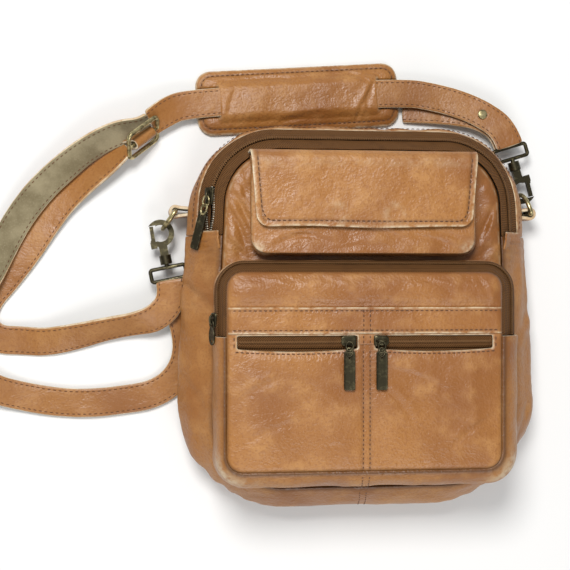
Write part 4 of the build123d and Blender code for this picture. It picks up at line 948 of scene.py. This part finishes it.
rear = org_wall([(60.3, 0.0, -0.5), (61.5, 0.0, 0.3), (63.5, 0.0, 0.7), (66, 0.0, 0.8), (68.4, 0.01, 0.7),
                 (69.2, 0.02, 0.5)], "top", 220)
rear = pushed(rear, 0.6 * ripple(rear, 20, 5.0))
rub = 0.3 * hump(rear[..., 2], 69.0, 0.8)
piece = sheet_of("box_strip", rear, LEATHER, 1.6, wear=rub)
held(piece, "bag", "organiser_rear_strip")


def finer(stations, count=19):
    """The same section in count steps."""
    rough_section = np.array(stations)
    return [tuple(np.interp(s, np.linspace(0, 1, len(stations)), rough_section[:, k]) for k in range(3))
            for s in np.linspace(0, 1, count)]


# Cloth behind the slots' pockets.
backing = plate_rings(lambda n: org_line(0.75, "all", n, -4.0), np.linspace(1, 0, 14),
                      lambda px, py, s: np.full(len(px), 86.0), 160)
piece = sheet_of("box_backing", backing[::-1], [LINING], 0.6, closed=True)
held(piece, "bag", "organiser_backing")

# Its zip leans in from the strip to the panel, so both rows of teeth show from above.
tape_low = org_wall(finer([(68.0, 0.0, 0.2), (70.5, 0.04, 0.5), (73.5, 0.12, 0.8), (76.6, 0.24, 0.9),
                           (79.0, 0.36, 0.8)]), "top", 260)
tape_high = org_wall(finer([(80.2, 0.42, 0.7), (83.0, 0.56, 0.6), (86.2, 0.72, 0.5), (89.2, 0.88, 0.3),
                            (91.4, 1.0, -0.3)]), "top", 260)
for name, grid, node in (("box_tape_rear", tape_low, "organiser_zip_tape_rear"),
                         ("box_tape_front", tape_high, "organiser_zip_tape_front")):
    ridges = 0.3 * np.cos(np.linspace(0, 6 * np.pi, len(grid)))[:, None]
    piece = sheet_of(name, pushed(grid, 0.3 * ripple(grid, 14, 2.0) + ridges), [TAPE], 0.8)
    held(piece, "bag", node)
mid_row, low_row = org_wall([(79.7, 0.39, 0.9), (77.7, 0.30, 0.9)], "top", 1100)
zip_mid, zip_across, zip_out = zip_line(mid_row, low_row, mid_row)
held(zip_teeth("box_teeth", zip_mid, zip_across, zip_out, np.zeros(1100), COIL), "bag",
     "organiser_zip_teeth")

# Its front: a puffed top, a stitched band, two zipped slots and a crowned lower part.
N_MID, N_TALL = (N_TOP + N_BOTTOM) / 2, (N_TOP - N_BOTTOM) / 2
SLOT_LOW, SLOT_HIGH, SLOT_IN, SLOT_OUT = -21.4, -12.4, 6.5, 93.0
SLOT_SAG = 1.9


def box_front(px, py):
    flat = on_floor(px, py)
    edge = np.minimum(np.minimum(N_HALF - np.abs(px), N_TOP - py), py - N_BOTTOM)
    rise = 93.8 - 2.6 * np.clip(1 - edge / 3.4, 0, 1) ** 2
    top, low = np.clip((py - 9) / 3, 0, 1), np.clip((-22 - py) / 6, 0, 1)
    puff = np.clip(np.sin(np.pi * np.clip((py - 8.5) / 25.0, 0, 1)), 0, 1) ** 0.7
    rise = rise + 3.0 * top * puff * np.clip(edge / 9, 0, 1)
    rise = rise + 1.6 * low * np.clip(edge / 22, 0, 1) * (1 - 0.75 * hump(px, 0, 12))
    waves = 0.7 * ripple(flat, 30, 5.0) + 0.35 * ripple(flat, 11, 8.0)
    rise = rise + waves * np.clip(edge / 10, 0, 1) * np.maximum(low, 0.8 * top)
    rise = rise + np.clip(edge / 8, 0, 1) * creases(px, py, (
        ((-94, -60), (-62, -42), 2.2, 1.0), ((-88, -88), (-40, -72), 2.4, 0.8),
        ((6, -44), (34, -74), 2.4, 1.1),
        ((14, -36), (58, -52), 2.2, 0.9), ((60, -96), (96, -70), 2.2, 1.0),
        ((-52, -40), (-24, -64), 2.0, 0.7),
        ((-80, 28), (-50, 14), 1.8, 0.9), ((-34, 30), (-8, 15), 1.7, 0.8), ((38, 29), (66, 16), 1.8, 0.9),
        ((82, 28), (90, 14), 1.6, 0.8)))
    for seam in SEAMS:
        rise = rise - 0.45 * hump(px, seam, 0.8) * (py < 9)
    return rise


def slot_sag(px, py):
    """How far the slack leather hangs below each slot."""
    share = np.clip((np.abs(px) - SLOT_IN) / (SLOT_OUT - SLOT_IN), 0, 1)
    fall = np.where(py > SLOT_LOW, (SLOT_HIGH - py) / (SLOT_HIGH - SLOT_LOW), 1 - (SLOT_LOW - py) / 14.0)
    return SLOT_SAG * np.sin(np.pi * share) ** 0.8 * np.clip(fall, 0, 1)


def lines(low, high, step, fixed):
    """Grid lines from low to high about step apart that pass through the fixed places."""
    stops = sorted({low, high, *[f for f in fixed if low < f < high]})
    out = []
    for a, b in zip(stops, stops[1:]):
        out += list(np.linspace(a, b, max(int(round((b - a) / step)), 1), endpoint=False))
    return np.array(out + [high])


xs = lines(-N_HALF, N_HALF, 1.9,
           [-SLOT_OUT, -SLOT_IN, SLOT_IN, SLOT_OUT, -N_HALF + 1, N_HALF - 1, -N_HALF + 2.4, N_HALF - 2.4])
ys = lines(N_BOTTOM, N_TOP, 1.9, [SLOT_LOW, SLOT_HIGH, N_BOTTOM + 1, N_TOP - 1, N_BOTTOM + 2.4, N_TOP - 2.4])
gx, gy = np.meshgrid(xs / N_HALF, (ys - N_MID) / N_TALL)
px, py = rounded_map(gx, gy, N_HALF, N_TALL, N_RADIUS)
py = py + N_MID
edge = np.minimum(np.minimum(N_HALF - np.abs(px), N_TOP - py), py - N_BOTTOM)
round_edge = edge_distance(px, py - N_MID, N_HALF, N_TALL, N_RADIUS)
turned_down, already_down = (np.clip(1 - off / 3.2, 0, 1) ** 2 for off in (round_edge, edge))
pz = box_front(px, py) + 1.7 * (already_down - turned_down)


def in_slot(i, j):
    cx, cy = (xs[j] + xs[j + 1]) / 2, (ys[i] + ys[i + 1]) / 2
    return SLOT_LOW < cy < SLOT_HIGH and SLOT_IN < abs(cx) < SLOT_OUT


slot_edge = np.maximum(np.abs(py - (SLOT_LOW + SLOT_HIGH) / 2) - (SLOT_HIGH - SLOT_LOW) / 2,
                       np.maximum(np.abs(px) - SLOT_OUT, SLOT_IN - np.abs(px)))
rub = 0.85 * np.clip(1.1 - slot_edge / 1.1, 0, 1)
# Painted shade round the panel's turned-down rim and along the grooves of its centre seams.
painted_shade = 0.9 * hump(round_edge, 0.0, 1.1) + 0.4 * (hump(px, -2.4, 0.7) + hump(px, 2.4, 0.7)) * (py < 9)
face = sheet_of("box_front", np.dstack([px + N_X, py - slot_sag(px, py), pz]), LEATHER, 1.6, wear=rub,
                shade=painted_shade, skip=in_slot)
held(face, "bag", "organiser_top_panel", "organiser_lower_panel")


def on_front(xs_run, ys_run, lift=0.15):
    """Points on the box pocket's front from its own (x, y)."""
    return np.c_[xs_run + N_X, ys_run - slot_sag(xs_run, ys_run), box_front(xs_run, ys_run) + lift]


for seam in SEAMS:
    run = np.linspace(SLOT_LOW - 1, N_BOTTOM + 1.5, 200)
    stitch("bag", on_front(np.full(200, seam), run), **SEAM_STITCH)
for sign in (-1, 1):
    run = np.linspace(SLOT_IN + 1, SLOT_OUT + 2, 200) * sign
    stitch("bag", on_front(run, np.full(200, SLOT_LOW - 2.3)))
    run = np.linspace(SLOT_LOW, SLOT_HIGH, 30)
    stitch("bag", on_front(np.full(30, (SLOT_OUT + 2.3) * sign), run))

# The little tab between its two zips.
tx, ty = np.meshgrid(np.linspace(-5.6, 5.6, 14), np.linspace(-19.0, -11.0, 12))
tab_edge = np.minimum(5.6 - np.abs(tx), 4.0 - np.abs(ty + 15.0))
tab = sheet_of("centre_tab", np.dstack([tx + N_X, ty, 94.9 - 0.5 * np.clip(1 - tab_edge, 0, 1)]), LEATHER,
               1.3,
               wear=0.3 * np.clip(1 - tab_edge, 0, 1))
held(tab, "bag", "organiser_centre_tab")
for seam in SEAMS:
    stitch("bag", [(N_X + seam, b, 94.95) for b in np.linspace(-18.4, -11.6, 20)], **SEAM_STITCH)

# The band across it, with cut edges along its top and bottom.
BAND_LOW, BAND_HIGH = -10.8, 8.0
bx, by = np.meshgrid(spaced(100), spaced(12, (0.02, 0.06, 0.12, 0.2)))
wide = N_HALF - 1.2
px = bx * wide
band_tall = (BAND_HIGH - BAND_LOW) / 2
py = (BAND_HIGH + BAND_LOW) / 2 + by * band_tall + 0.35 * ripple(on_floor(px, 0 * px), 18, 2.0)
off = (1 - np.abs(by)) * band_tall
pz = 95.3 - 1.5 * np.clip(np.abs(bx) - 0.97, 0, 1) / 0.03 - 0.45 * hump(off, 2.4, 0.6)
pz = pz + 0.3 * ripple(on_floor(px, py), 16, 4.0)
# Its shade is painted shade along the grooves of its stitch lines and at its turned-down ends.
band = sheet_of("box_band", np.dstack([px + N_X, py, pz]), LEATHER, 1.5,
                wear=0.9 * np.clip(1.25 - off / 1.1, 0, 1),
                shade=0.35 * hump(off, 2.4, 0.7) + 0.5 * np.clip(np.abs(bx) - 0.985, 0, 1) / 0.015)
held(band, "bag", "organiser_band")
for level in (BAND_LOW + 2.4, BAND_HIGH - 2.4):
    run = np.linspace(-wide + 3, wide - 3, 300)
    stitch("bag", np.c_[run + N_X, np.full(300, level), np.full(300, 95.1)])
for seam in SEAMS:
    stitch("bag", [(N_X + seam, b, 95.35) for b in np.linspace(BAND_LOW + 1, BAND_HIGH - 1, 40)],
           **SEAM_STITCH)

# The two flat zips in its slots.
for sign, label in ((-1, "left"), (1, "right")):
    tx, ty = np.meshgrid(np.linspace(SLOT_IN - 3, SLOT_OUT + 3, 60) * sign,
                         np.linspace(SLOT_LOW - 4, SLOT_HIGH + 3, 36))
    if sign < 0:
        tx = tx[:, ::-1]
    middle = -16.6
    tz = 91.3 + 0.5 * hump(ty, middle, 1.6) + 0.3 * np.sin(ty * 3.2) - 2.2 * np.clip((-20.0 - ty) / 2, 0, 1)
    tz = tz + 0.2 * ripple(on_floor(tx, ty), 12, 3.0)
    piece = sheet_of("slot_tape_" + label, np.dstack([tx + N_X, ty, tz]), [TAPE], 0.8)
    held(piece, "bag", label + "_front_zip_tape")
    run = np.linspace(SLOT_IN + 4, SLOT_OUT - 1.5, 300) * sign
    line = np.c_[run + N_X, np.full(300, middle), np.full(300, 92.2)]
    up_page, up = np.tile([0, 1.0, 0], (300, 1)), np.tile([0, 0, 1.0], (300, 1))
    piece = zip_teeth("slot_teeth_" + label, line, up_page, up, np.zeros(300), COIL, (1.5, 0.46, 0.8))
    held(piece, "bag", label + "_front_zip_teeth")


# ------------------------------------------------------------------ ring loops
LOOP_LOW, LOOP_HIGH = 6.8, 26.2
loop_levels = np.r_[LOOP_LOW, LOOP_LOW + 0.5, np.linspace(LOOP_LOW + 1.2, LOOP_HIGH - 1.2, 9),
                    LOOP_HIGH - 0.5, LOOP_HIGH]
for sign, label in ((-1, "left"), (1, "right")):
    turn = [(sign * (139 + 3.7 * math.cos(a)), 80 + 3.7 * math.sin(a)) for a in np.linspace(-2.1, 2.1, 24)]
    line = [(121.5 * sign, 77.6), (130 * sign, 77.6), *turn, (130 * sign, 82.4), (121.5 * sign, 82.4)]
    line = resample(np.array(line[::sign]), 70)
    loop = np.array([np.c_[line, np.full(70, z)] for z in loop_levels])
    loop = loop + 0.35 * ripple(loop, 8, 5.0)[..., None] * np.array([1.0, 1.0, 0.0])
    edge = np.minimum(loop[..., 2] - LOOP_LOW, LOOP_HIGH - loop[..., 2])
    piece = sheet_of("ring_strap_" + label, loop, LEATHER, 2.6, offset=0.0,
                     wear=0.8 * np.clip(1.0 - edge / 1.2, 0, 1) + 0.1)
    held(piece, "bag", label + "_ring_loop")


# ------------------------------------------------------------------ zip sliders and pulls
def plane_of(origin, across, along):
    """A plane to build castings on: its origin and its unit ways across, along and out."""
    across = unit(np.array(across, float))
    along = np.array(along, float)
    along = unit(along - across * (across @ along))
    return np.array(origin, float), across, along, np.cross(across, along)


def placed(plane, points):
    origin, across, along, out = plane
    return [origin + p[0] * across + p[1] * along + p[2] * out for p in points]


def rounded_bar(half_x, low_y, high_y, radius, sides=7):
    points = []
    for cx, cy, start in ((half_x - radius, high_y - radius, 0), (-half_x + radius, high_y - radius, 90),
                          (-half_x + radius, low_y + radius, 180), (half_x - radius, low_y + radius, 270)):
        for angle in np.radians(np.linspace(start, start + 90, sides)):
            points.append((cx + radius * math.cos(angle), cy + radius * math.sin(angle)))
    return points


def casting(name, plane, outline, hole, low, high, body, *nodes, rim=0.9, sunk=0.35, bevel=0.22):
    """A flat casting with a raised border round a sunk field, and an optional hole (x, y, radius)."""
    outline = np.array(outline)
    middle = outline.mean(axis=0)
    inner = middle + (outline - middle) * 0.05
    if hole is not None:
        angles = np.arctan2(outline[:, 1] - hole[1], outline[:, 0] - hole[0])
        inner = np.c_[hole[0] + hole[2] * np.cos(angles), hole[1] + hole[2] * np.sin(angles)]
    inward = unit(middle - outline)
    lip = unit(outline - inner) * 0.6
    rings = [(inner, low), (outline + inward * bevel, low), (outline, low + bevel), (outline, high - bevel),
             (outline + inward * bevel, high), (outline + inward * rim, high),
             (outline + inward * (rim + 0.35), high - sunk)]
    if hole is not None:
        rings += [(inner + lip, high - sunk), (inner + lip / 2, high - sunk + 0.25)]
    rings.append((inner, high - sunk))
    verts = [corner for ring, z in rings for corner in placed(plane, [(*p, z) for p in ring])]
    faces = tube_faces(len(rings), len(outline), joined=hole is not None)
    piece = make(name, verts, faces, [DARK_BRASS])
    smooth(piece)
    held(piece, body, *nodes)


def tube(name, points, radius, material, body, *nodes, closed=False, sides=12):
    """A round bar along a dense line."""
    points = np.array(points, float)
    way = unit(np.roll(points, -1, axis=0) - np.roll(points, 1, axis=0) if closed
               else np.gradient(points, axis=0))
    side = np.cross(way[0], (0.31, 0.22, 0.93))
    verts = []
    for here, w in zip(points, way):
        side = unit(side - w * (side @ w))
        up = np.cross(w, side)
        verts += [here + radius * (math.cos(a) * side + math.sin(a) * up)
                  for a in np.linspace(0, 2 * math.pi, sides, endpoint=False)]
    held(make(name, verts, tube_faces(len(points), sides, joined=closed), [material]), body, *nodes)


def slider(name, plane, low, high, body, node, half=(4.2, 5.5)):
    """A zip slider: a spade-shaped plate over and under the zip, and an arched bridge for its pull."""
    outline = [(a * (0.89 + 0.11 * b / half[1]), b) for a, b in rounded_bar(half[0], -half[1], half[1], 2.2)]
    casting(name, plane, outline, None, high, high + 1.5, body, node, rim=0.8, sunk=-0.35, bevel=0.4)
    casting(name + "_under", plane, outline, None, low - 1.2, low, body, rim=0.8, sunk=-0.1)
    arch = [(0.0, s, high + 1.2 + 2.9 * math.sqrt(max(1 - (s / 3.7) ** 2, 0)))
            for s in np.linspace(-3.7, 3.7, 15)]
    tube(name + "_bridge", placed(plane, arch), 0.85, DARK_BRASS, body)


def link(name, plane, middle_y, long, wide, z, radius, material, body, tilt):
    ring = [(wide * math.cos(a), middle_y + long * math.sin(a), z + tilt * math.sin(a))
            for a in np.linspace(0, 2 * math.pi, 28, endpoint=False)]
    tube(name, placed(plane, ring), radius, material, body, closed=True, sides=9)


# Front pulls: two short links from each slider's bridge to a long plain tag with a hole.
for sign, label, x in ((-1, "left", -17.5), (1, "right", 6.0)):
    place = (x, -16.0, 92.0)
    hang = plane_of(place, (1, 0, 0), (0, 1, 0))
    slider("slider_" + label, plane_of(place, (0, 1, 0), (-sign, 0, 0)), -1.0, 2.1, label + "_slider",
           label + "_front_zip_slider")
    casting("tag_" + label, hang, rounded_bar(4.1, -35.2, -7.2, 1.6), (0.0, -11.4, 1.2), 4.4, 5.9,
            label + "_pull",
            label + "_front_zip_pull")
    for k, (mid, long, tilt) in enumerate(((-3.5, 3.2, 0.5), (-7.9, 3.1, -0.4))):
        link("tag_link_%s_%d" % (label, k), hang, mid, long, 2.6 - 0.5 * k, 5.3, 0.75, DARK_BRASS,
             label + "_pull", tilt)

# Main pull: two thin worn links, then a long dark tag that leans against the bag.
main_plane = plane_of((-113.463, 90.0, 51.0), (0.70746, 0, 0.706753), (0.055883, 0.998437, 0))
lean = math.radians(17)
tag_plane = plane_of(main_plane[0], math.cos(lean) * main_plane[1] - math.sin(lean) * main_plane[2],
                     math.cos(lean) * main_plane[2] + math.sin(lean) * main_plane[1])
slider("slider_main", main_plane, -2.2, 1.2, "main_slider", "main_zip_slider", half=(4.6, 6.4))
casting("tag_main", tag_plane, rounded_bar(3.9, -41.5, -11.6, 1.6), (0.0, -15.4, 1.2), 3.3, 4.7,
        "main_pull", "main_zip_pull")
for k, (mid, tilt) in enumerate(((-4.4, 0.3), (-10.4, -0.3))):
    link("tag_link_main_%d" % k, tag_plane, mid, 4.0, 3.1 - 0.4 * k, 4.0, 0.7, BRASS, "main_pull", tilt)

# Box pocket's pull hangs down its side: a small oval tag.
side_plane = plane_of((-111.0, -1.0, 77.6), (0.42, 0, 0.91), (0, 1, 0))
slider("slider_box", side_plane, -1.6, 1.6, "organiser_slider", "organiser_zip_slider", half=(4.0, 5.2))
oval = [(3.9 * math.cos(a), -11.5 + 7.0 * math.sin(a))
        for a in np.linspace(0, 2 * math.pi, 28, endpoint=False)]
casting("tag_box", side_plane, oval, (0.0, -15.4, 1.1), 3.2, 4.6, "organiser_pull", "organiser_zip_pull",
        rim=0.7)
link("tag_link_box", side_plane, -3.6, 3.4, 2.6, 3.9, 0.75, DARK_BRASS, "organiser_pull", 0.3)

# ------------------------------------------------------------------ strap adjuster and its sewn loop
corner_at = np.array([-153.0, 153.0, 20.5])
bar_way = unit(np.array([-0.686, -0.575, 0.447]))
adjuster_plane = plane_of(corner_at, bar_way, (0.036, -0.635, -0.77))
ring = resample(np.array(rounded_bar(15.5, -12.0, 12.0, 4.0)), 90, closed=True) + (15.5, 12.0)
tube("adjuster_frame", placed(adjuster_plane, [(*p, 0.0) for p in ring]), 1.75, BRASS, "bag",
     "strap_adjuster", closed=True, sides=14)
tube("adjuster_bar", placed(adjuster_plane, [(s, 12.0, 0.0) for s in np.linspace(1.0, 30.0, 12)]), 1.5,
     BRASS, "bag")
fold_tilt = math.radians(40)
fold_way = adjuster_plane[2] * math.sin(fold_tilt) - adjuster_plane[3] * math.cos(fold_tilt)
fold_up = np.cross(bar_way, fold_way)
start = corner_at + bar_way * 5.5 + adjuster_plane[2] * 12.0
run = np.linspace(0, 14, 12)
section = [(14.0 - s, 3.3) for s in run]
section += [(3.3 * math.cos(a), 3.3 * math.sin(a))
            for a in np.linspace(math.pi / 2, 3 * math.pi / 2, 14)[1:-1]]
section += [(s, -3.3) for s in run]
fold = np.array([[start + bar_way * s + fold_way * a + fold_up * b for a, b in section]
                 for s in np.r_[0.0, 0.5, np.linspace(1.4, 18.6, 9), 19.5, 20.0]])
fold = fold + 0.3 * ripple(fold, 7, 3.0)[..., None] * fold_up
held(sheet_of("adjuster_loop", fold, STRAP, 2.0, offset=0.0), "bag", "adjuster_fold")

# ------------------------------------------------------------------ rivet
rivet = []
for label, z, flip, nodes in (("top", 16.6, 1, ["strap_rivet"]), ("under", 7.6, -1, [])):
    dome = np.array([[(103.5 + r * math.cos(a), 159.0 + r * math.sin(a), z + flip * h)
                      for a in np.linspace(0, 2 * math.pi, 20, endpoint=False)]
                     for r,
                     h in ((0.0, 1.1), (1.6, 1.05), (2.9, 0.8), (3.8, 0.35), (4.0, 0.0), (3.4, -0.4))])
    piece = make("rivet_" + label, dome[:, ::-flip].reshape(-1, 3), grid_faces(6, 20, closed=True), [BRASS])
    smooth(piece)
    rivet.append(held(piece, "bag", *nodes))

# ------------------------------------------------------------------ shoulder pad
PAD_HALF_X, PAD_HALF_Y, PAD_CORNER, SLIT = 80.0, 25.0, 12.0, 63.0
PAD_SEAM = 4.2
pad_way = np.array([0.997592, 0.069357, 0.0])
pad_side = np.array([-0.069357, 0.997592, 0.0])
pad_mid = np.array([-42.0, 170.5, 0.0])


def on_pad(a, b, z):
    """Points in the pad's own frame: a along it, b across it."""
    along, across, rise = (np.multiply.outer(*pair) for pair in ((a, pad_way), (b, pad_side), (z, (0, 0, 1.0))))
    return pad_mid + along + across + rise


def pad_crown(edge):
    return 3.0 + 4.4 * np.clip(edge / 9.0, 0, 1) ** 0.6


u, v = np.meshgrid(spaced(120, (0.004, 0.012, 0.022, 0.03)), spaced(44, (0.012, 0.035, 0.06, 0.09)))
a, b = rounded_map(u, v, PAD_HALF_X, PAD_HALF_Y, PAD_CORNER)
edge = edge_distance(a, b, PAD_HALF_X, PAD_HALF_Y, PAD_CORNER)
under_cover = 1 / (1 + np.exp((np.abs(a) - SLIT) / 0.35))
strap_lift = np.clip(1.15 - (np.abs(b) / 15.5) ** 4, 0,
                     1) * (0.86 + 0.14 * np.clip((SLIT - np.abs(a)) / 20, 0, 1))
top_z = pad_crown(edge) + 4.4 * under_cover * strap_lift - 1.7 * (1 - under_cover) * (np.abs(b) < 12.0)
top_z = top_z + 0.7 * ripple(on_floor(a, b), 20, 3.0) * np.clip(edge / 8, 0,
                                                                1) - 0.6 * hump(edge, PAD_SEAM, 0.9)
top_z = top_z + np.clip(edge / 6, 0, 1) * creases(a, b, (
    ((44, -22), (58, 4), 2.0, 1.2), ((52, -18), (62, 14), 1.8, 1.0), ((36, 20), (58, 8), 2.0, 0.9),
    ((-58, -18), (-48, 12), 1.8, 0.7), ((-20, -20), (24, -13), 2.0, 0.8), ((-44, 16), (6, 12), 1.8, 0.6)))
rub = 0.9 * np.clip(1.1 - edge / 1.4, 0, 1) + 0.5 * hump(np.abs(a), SLIT, 0.9) * (np.abs(b) < 14)
# Painted shade along the seam's groove and in the slits where the strap goes under the top.
painted_shade = 0.45 * hump(edge, PAD_SEAM, 0.9) + 0.9 * hump(np.abs(a), SLIT + 0.9, 0.8) * (np.abs(b) < 12.5)
rows, cols = a.shape
faces = grid_faces(rows, cols)
slots = [0] * len(faces)
rim = [*range(cols), *((i + 1) * cols - 1 for i in range(1, rows)),
       *((rows - 1) * cols + j for j in reversed(range(cols - 1))),
       *(i * cols for i in reversed(range(1, rows - 1)))]
around = len(rim)
a_flat, b_flat, top_count = a.ravel(), b.ravel(), a.size
parts = [on_pad(a, b, top_z).reshape(-1, 3)]
for height, pull_in in ((1.5, -0.2), (0.7, 0.3)):
    parts.append(on_pad(a_flat[rim] * (1 - pull_in / 60), b_flat[rim] * (1 - pull_in / 25),
                        np.full(around, height)))
parts.append(on_pad(a_flat * 0.975, b_flat * 0.94, np.full(top_count, 0.2)))
under = top_count + 2 * around
loops = [rim, range(top_count, top_count + around), range(top_count + around, under),
         [under + k for k in rim]]
for before, after, slot in zip(loops, loops[1:], (1, 1, 2)):
    for k in range(around):
        m = (k + 1) % around
        faces.append((before[k], after[k], after[m], before[m]))
        slots.append(slot)
for face in grid_faces(rows, cols):
    faces.append(tuple(under + k for k in reversed(face)))
    slots.append(2)
below = np.zeros(top_count)
pad = make("pad_body", np.vstack(parts), faces, LEATHER, slots,
           wear=np.r_[rub.ravel(), np.full(2 * around, 0.7), below],
           shade=np.r_[painted_shade.ravel(), np.zeros(2 * around), below])
smooth(pad)
held(pad, "shoulder_pad", "pad_base", "pad_foam", "pad_top")
half_x, half_y = PAD_HALF_X - PAD_SEAM, PAD_HALF_Y - PAD_SEAM
ring = arc_ring([(-half_x, -half_y), (half_x, -half_y), (half_x, half_y), (-half_x, half_y)], [9, 9, 9, 9])
ring = resample(ring, 500, closed=True)
stitch("shoulder_pad", on_pad(ring[:, 0], ring[:, 1], np.full(500, pad_crown(PAD_SEAM) - 0.3)), pitch=3.9)

# ------------------------------------------------------------------ CAD nodes that stay, in better materials
STAYING = [("slip_pocket", LINING), ("pouch_magnets", BRASS), ("flap_magnets", BRASS)]
for label in ("left", "right"):
    STAYING.append((label + "_d_ring", BRASS))
    STAYING += [(label + part, DARK_BRASS) for part in ("_hook_body", "_hook_gate", "_hook_eye")]
for node, material in STAYING:
    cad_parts[node].data.materials.clear()
    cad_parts[node].data.materials.append(material)

for body, label in (("bag", "shell"), ("flap", "lid"), ("shoulder_pad", "cushion")):
    sew(body, label)


# ------------------------------------------------------------------ the strap's CAD nodes, hidden in place of its runs
def strap_cord(piece, path, leaves, node, **how):
    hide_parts(node)


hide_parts("strap_tail")
strap_cord(upper, upper_path, upper_path[0], "strap_upper", with_pieces=[tail, *rivet])
strap_cord(outer, outer_path, outer_path[0], "strap_outer_strand")
strap_cord(inner, inner_path, inner_path[0], "strap_inner_strand")
